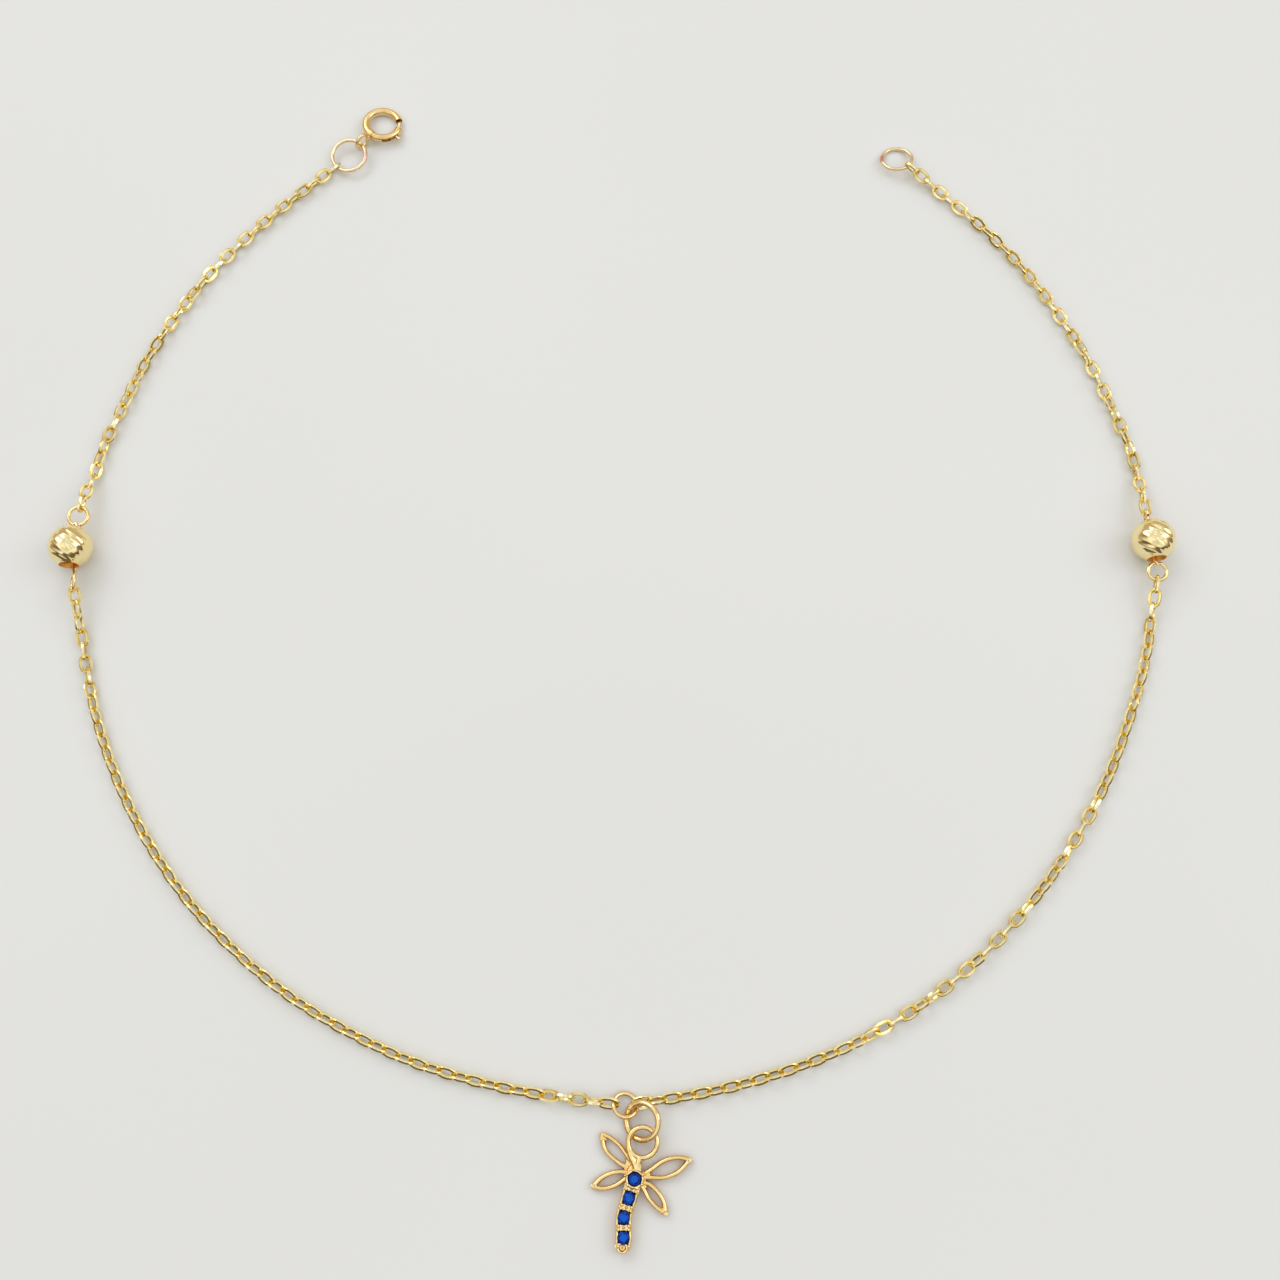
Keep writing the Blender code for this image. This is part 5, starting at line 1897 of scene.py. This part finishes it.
ROUTES = {
    "chain_upper_left": (
        (-0.645, 0.914), (-0.722, 0.832), (-0.790, 0.746), (-0.849, 0.651), (-0.899, 0.552), (-0.936, 0.448),
        (-0.969, 0.343),
    ),
    "chain_lower_left": (
        (-0.961, -0.080), (-0.924, -0.211), (-0.872, -0.334), (-0.808, -0.446), (-0.732, -0.548),
        (-0.643, -0.638), (-0.548, -0.714), (-0.445, -0.776), (-0.338, -0.826), (-0.229, -0.860),
        (-0.115, -0.884),
    ),
    "chain_lower_right": (
        (0.165, -0.880), (0.274, -0.852), (0.381, -0.813), (0.484, -0.761), (0.581, -0.696), (0.670, -0.617),
        (0.752, -0.526), (0.825, -0.425), (0.887, -0.315), (0.938, -0.194), (0.979, -0.067),
    ),
    "chain_upper_right": (
        (0.988, 0.326), (0.959, 0.431), (0.922, 0.537), (0.876, 0.636), (0.821, 0.733), (0.755, 0.824),
        (0.680, 0.906),
    ),
}  # fmt: skip
TWISTS = {
    "chain_upper_left": ((0, 60), (0.09, 90), (0.38, 90), (0.47, 180), (0.76, 180), (0.85, 270), (1, 360)),
    "chain_upper_right": (
        (0, 0), (0.12, 0), (0.21, 90), (0.30, 180), (0.36, 180), (0.45, 270), (0.75, 270), (1, 330),
    ),
    "chain_lower_left": (
        (0, 155), (0.06, 85), (0.09, 75), (0.15, 30), (0.40, 35), (0.66, 40), (0.91, 40), (0.947, 75),
        (0.965, 90), (0.98, 105), (1, 130),
    ),
    "chain_lower_right": (
        (0, 26), (0.035, 38), (0.28, 40), (0.32, 88), (0.34, 88), (0.39, 177), (0.43, 177), (0.464, 265),
        (0.518, 265), (0.55, 308), (0.60, 308), (0.643, 351), (0.68, 350), (0.71, 394), (0.93, 388), (1, 450),
    ),
}  # fmt: skip
END_ROLLS = {
    "chain_upper_left": 90,
    "chain_upper_right": 78,
    "chain_lower_left": 40,
    "chain_lower_right": 90,
}


class Anklet:
    """The whole anklet, piece by piece."""

    def __init__(self) -> None:
        """Builds the finishes and works out where the rings lie."""
        # The chain, ring and bead plates carry painted shade, a darker, warmer colour where the mesh marks
        # it.
        link_plate = (Slot.CHAIN, (1.0, 0.89, 0.53), (0.99, 0.84, 0.44), 0.10, 0.010)
        self.chain = PaintedShadeGold(*link_plate, painted_shade=(0.84, 0.60, 0.11), dull=0.05).build()
        self.pin = GoldFinish(Slot.CHAIN, (0.98, 0.80, 0.42), (0.95, 0.72, 0.33), 0.10, 0.010).build()
        cast_plate = (Slot.RING, (1.0, 0.81, 0.43), (0.99, 0.73, 0.32), 0.08, 0.030)
        self.ring = PaintedShadeGold(*cast_plate, painted_shade=(0.68, 0.38, 0.07), dull=0.05).build()
        self.clasp = GoldFinish(Slot.CLASP, (0.93, 0.71, 0.36), (0.88, 0.62, 0.27), 0.20, 0.014).build()
        # The tongue's paler plate is a painted highlight.
        self.tongue = GoldFinish(Slot.CLASP, (0.93, 0.74, 0.48), (0.90, 0.66, 0.42), 0.22, 0.010).build()
        bead_plate = (Slot.BEAD, (0.98, 0.85, 0.47), (0.97, 0.80, 0.41), 0.07, 0.004)
        self.bead = PaintedShadeGold(*bead_plate, wear=0.05).build()
        self.clasp_centre = CLASP.ring_centre(CLASP_RING)
        self.end_centre = at_height(END_RING_PLACE, END_RING.rest_height)
        self.middle_centre = at_height(CENTRE_RING_PLACE, CENTRE_RING.rest_height)
        pale = (Slot.RING, (0.92, 0.77, 0.50), (0.89, 0.72, 0.44), 0.21, 0.012)
        joint = self.end_centre + polar(END_RING.radius, math.radians(END_RING_JOINT))
        self.soldered = SolderedGold(*pale, joint=tuple(joint)).build()
        joint = self.clasp_centre + polar(CLASP_RING.radius, math.radians(CLASP_RING_JOINT))
        self.pale = SolderedGold(*pale, joint=tuple(joint), pink=(0.85, 0.56, 0.42), reach=0.8).build()
        self.stone = StoneFinish().build()

    def rings(self) -> Vector:
        """Makes the jump rings.

        Returns:
            The middle of the charm ring.
        """
        drop = (CLASP.tail.outer - LINK_WIDTH) / 2
        tilt = math.degrees(math.asin(drop / 2 / CLASP_RING.radius))
        leaning = replace(CLASP_RING, tilt=tilt, raised=CLASP.tail_heading + 180)
        reach = CENTRE_RING.inner + CHARM_RING.inner - CHARM_RING_OVERLAP
        apart = polar(reach, math.radians(CHARM_RING_TURN))
        at_charm = CENTRE_RING_PLACE + apart + UP * CHARM_RING.rest_height
        for node, ring, centre, finish in (
            ("clasp_jump_ring", leaning, self.clasp_centre, self.pale),
            ("end_ring", END_RING, self.end_centre, self.soldered),
            ("centre_ring", CENTRE_RING, self.middle_centre, self.ring),
            ("charm_ring", CHARM_RING.stouter(), at_charm, self.ring),
        ):
            # Painted shade on the wires' sides; the centre and charm rings' plate shows it.
            ring.shape(centre).shade_sides().deliver(f"{node}_wire", Slot.RING, finish, node)
        return at_charm

    def charm(self, carrier: Vector) -> None:
        """Makes the charm that hangs in the charm ring.

        Args:
            carrier: Middle of the charm ring.
        """
        reach = CHARM_RING.inner + CHARM_LOOP.inner - CHARM_LOOP_OVERLAP
        middle = at_height(carrier, 0) + polar(reach, math.radians(CHARM_LOOP_TURN))
        away = middle.xy - carrier.xy
        chord = (away.length**2 + CHARM_RING.radius**2 - CHARM_LOOP.radius**2) / (2 * away.length)
        crossing = carrier.xy + away.normalized() * chord
        height = CHARM_RING.height_at(carrier, crossing.to_3d())
        palm = PalmCharm(crown=middle - PalmCharm.loop_shift, loop_height=height)
        palm.make(self.ring)
        palm.set_stones(self.stone)

    def strands(self) -> None:
        """Lays the four strands of chain."""
        clasp_hook = Hook(at_height(self.clasp_centre, LINK_WIDTH / 2), CLASP_RING.inner)
        chain_side = (on_floor(*ROUTES["chain_upper_right"][-1]) - END_RING_PLACE).normalized()
        held = END_RING.height_at(self.end_centre, self.end_centre + chain_side * END_RING.radius)
        end_hook = Hook(at_height(self.end_centre, held), END_RING.inner)
        middle, hooks = self.middle_centre, []
        for side, rise in ((-CENTRE_RING.radius, Hook.rise), (CENTRE_RING.radius, RIGHT_CLIMB)):
            height = CENTRE_RING.height_at(middle, middle + Vector((side, 0, 0))) + HOOK_LIFT
            hooks.append(Hook(at_height(middle, height), CENTRE_RING.inner, rise))
        (left_upper, left_lower), (right_upper, right_lower) = LEFT_BEAD.hooks, RIGHT_BEAD.hooks
        ends = {
            "chain_upper_left": (clasp_hook, left_upper),
            "chain_upper_right": (right_upper, end_hook),
            "chain_lower_left": (left_lower, hooks[0]),
            "chain_lower_right": (hooks[1], right_lower),
        }
        for seed, (node, hooked) in enumerate(ends.items(), FIRST_STRAND_SEED):
            Strand(node, *hooked, ROUTES[node], TWISTS[node], END_ROLLS[node], seed).make(self.chain)

    def make(self) -> None:
        """Makes every piece."""
        CLASP.make(self.clasp, self.tongue)
        self.charm(self.rings())
        for bead in (LEFT_BEAD, RIGHT_BEAD):
            bead.make(self.bead, self.pin)
        self.strands()


def main() -> None:
    """Builds the scene; each dressed piece notes its count of faces as it is made."""
    logging.basicConfig(level=logging.INFO, format="%(name)s: %(message)s")
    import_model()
    Studio().make()
    Anklet().make()


if __name__ == "__main__":
    main()
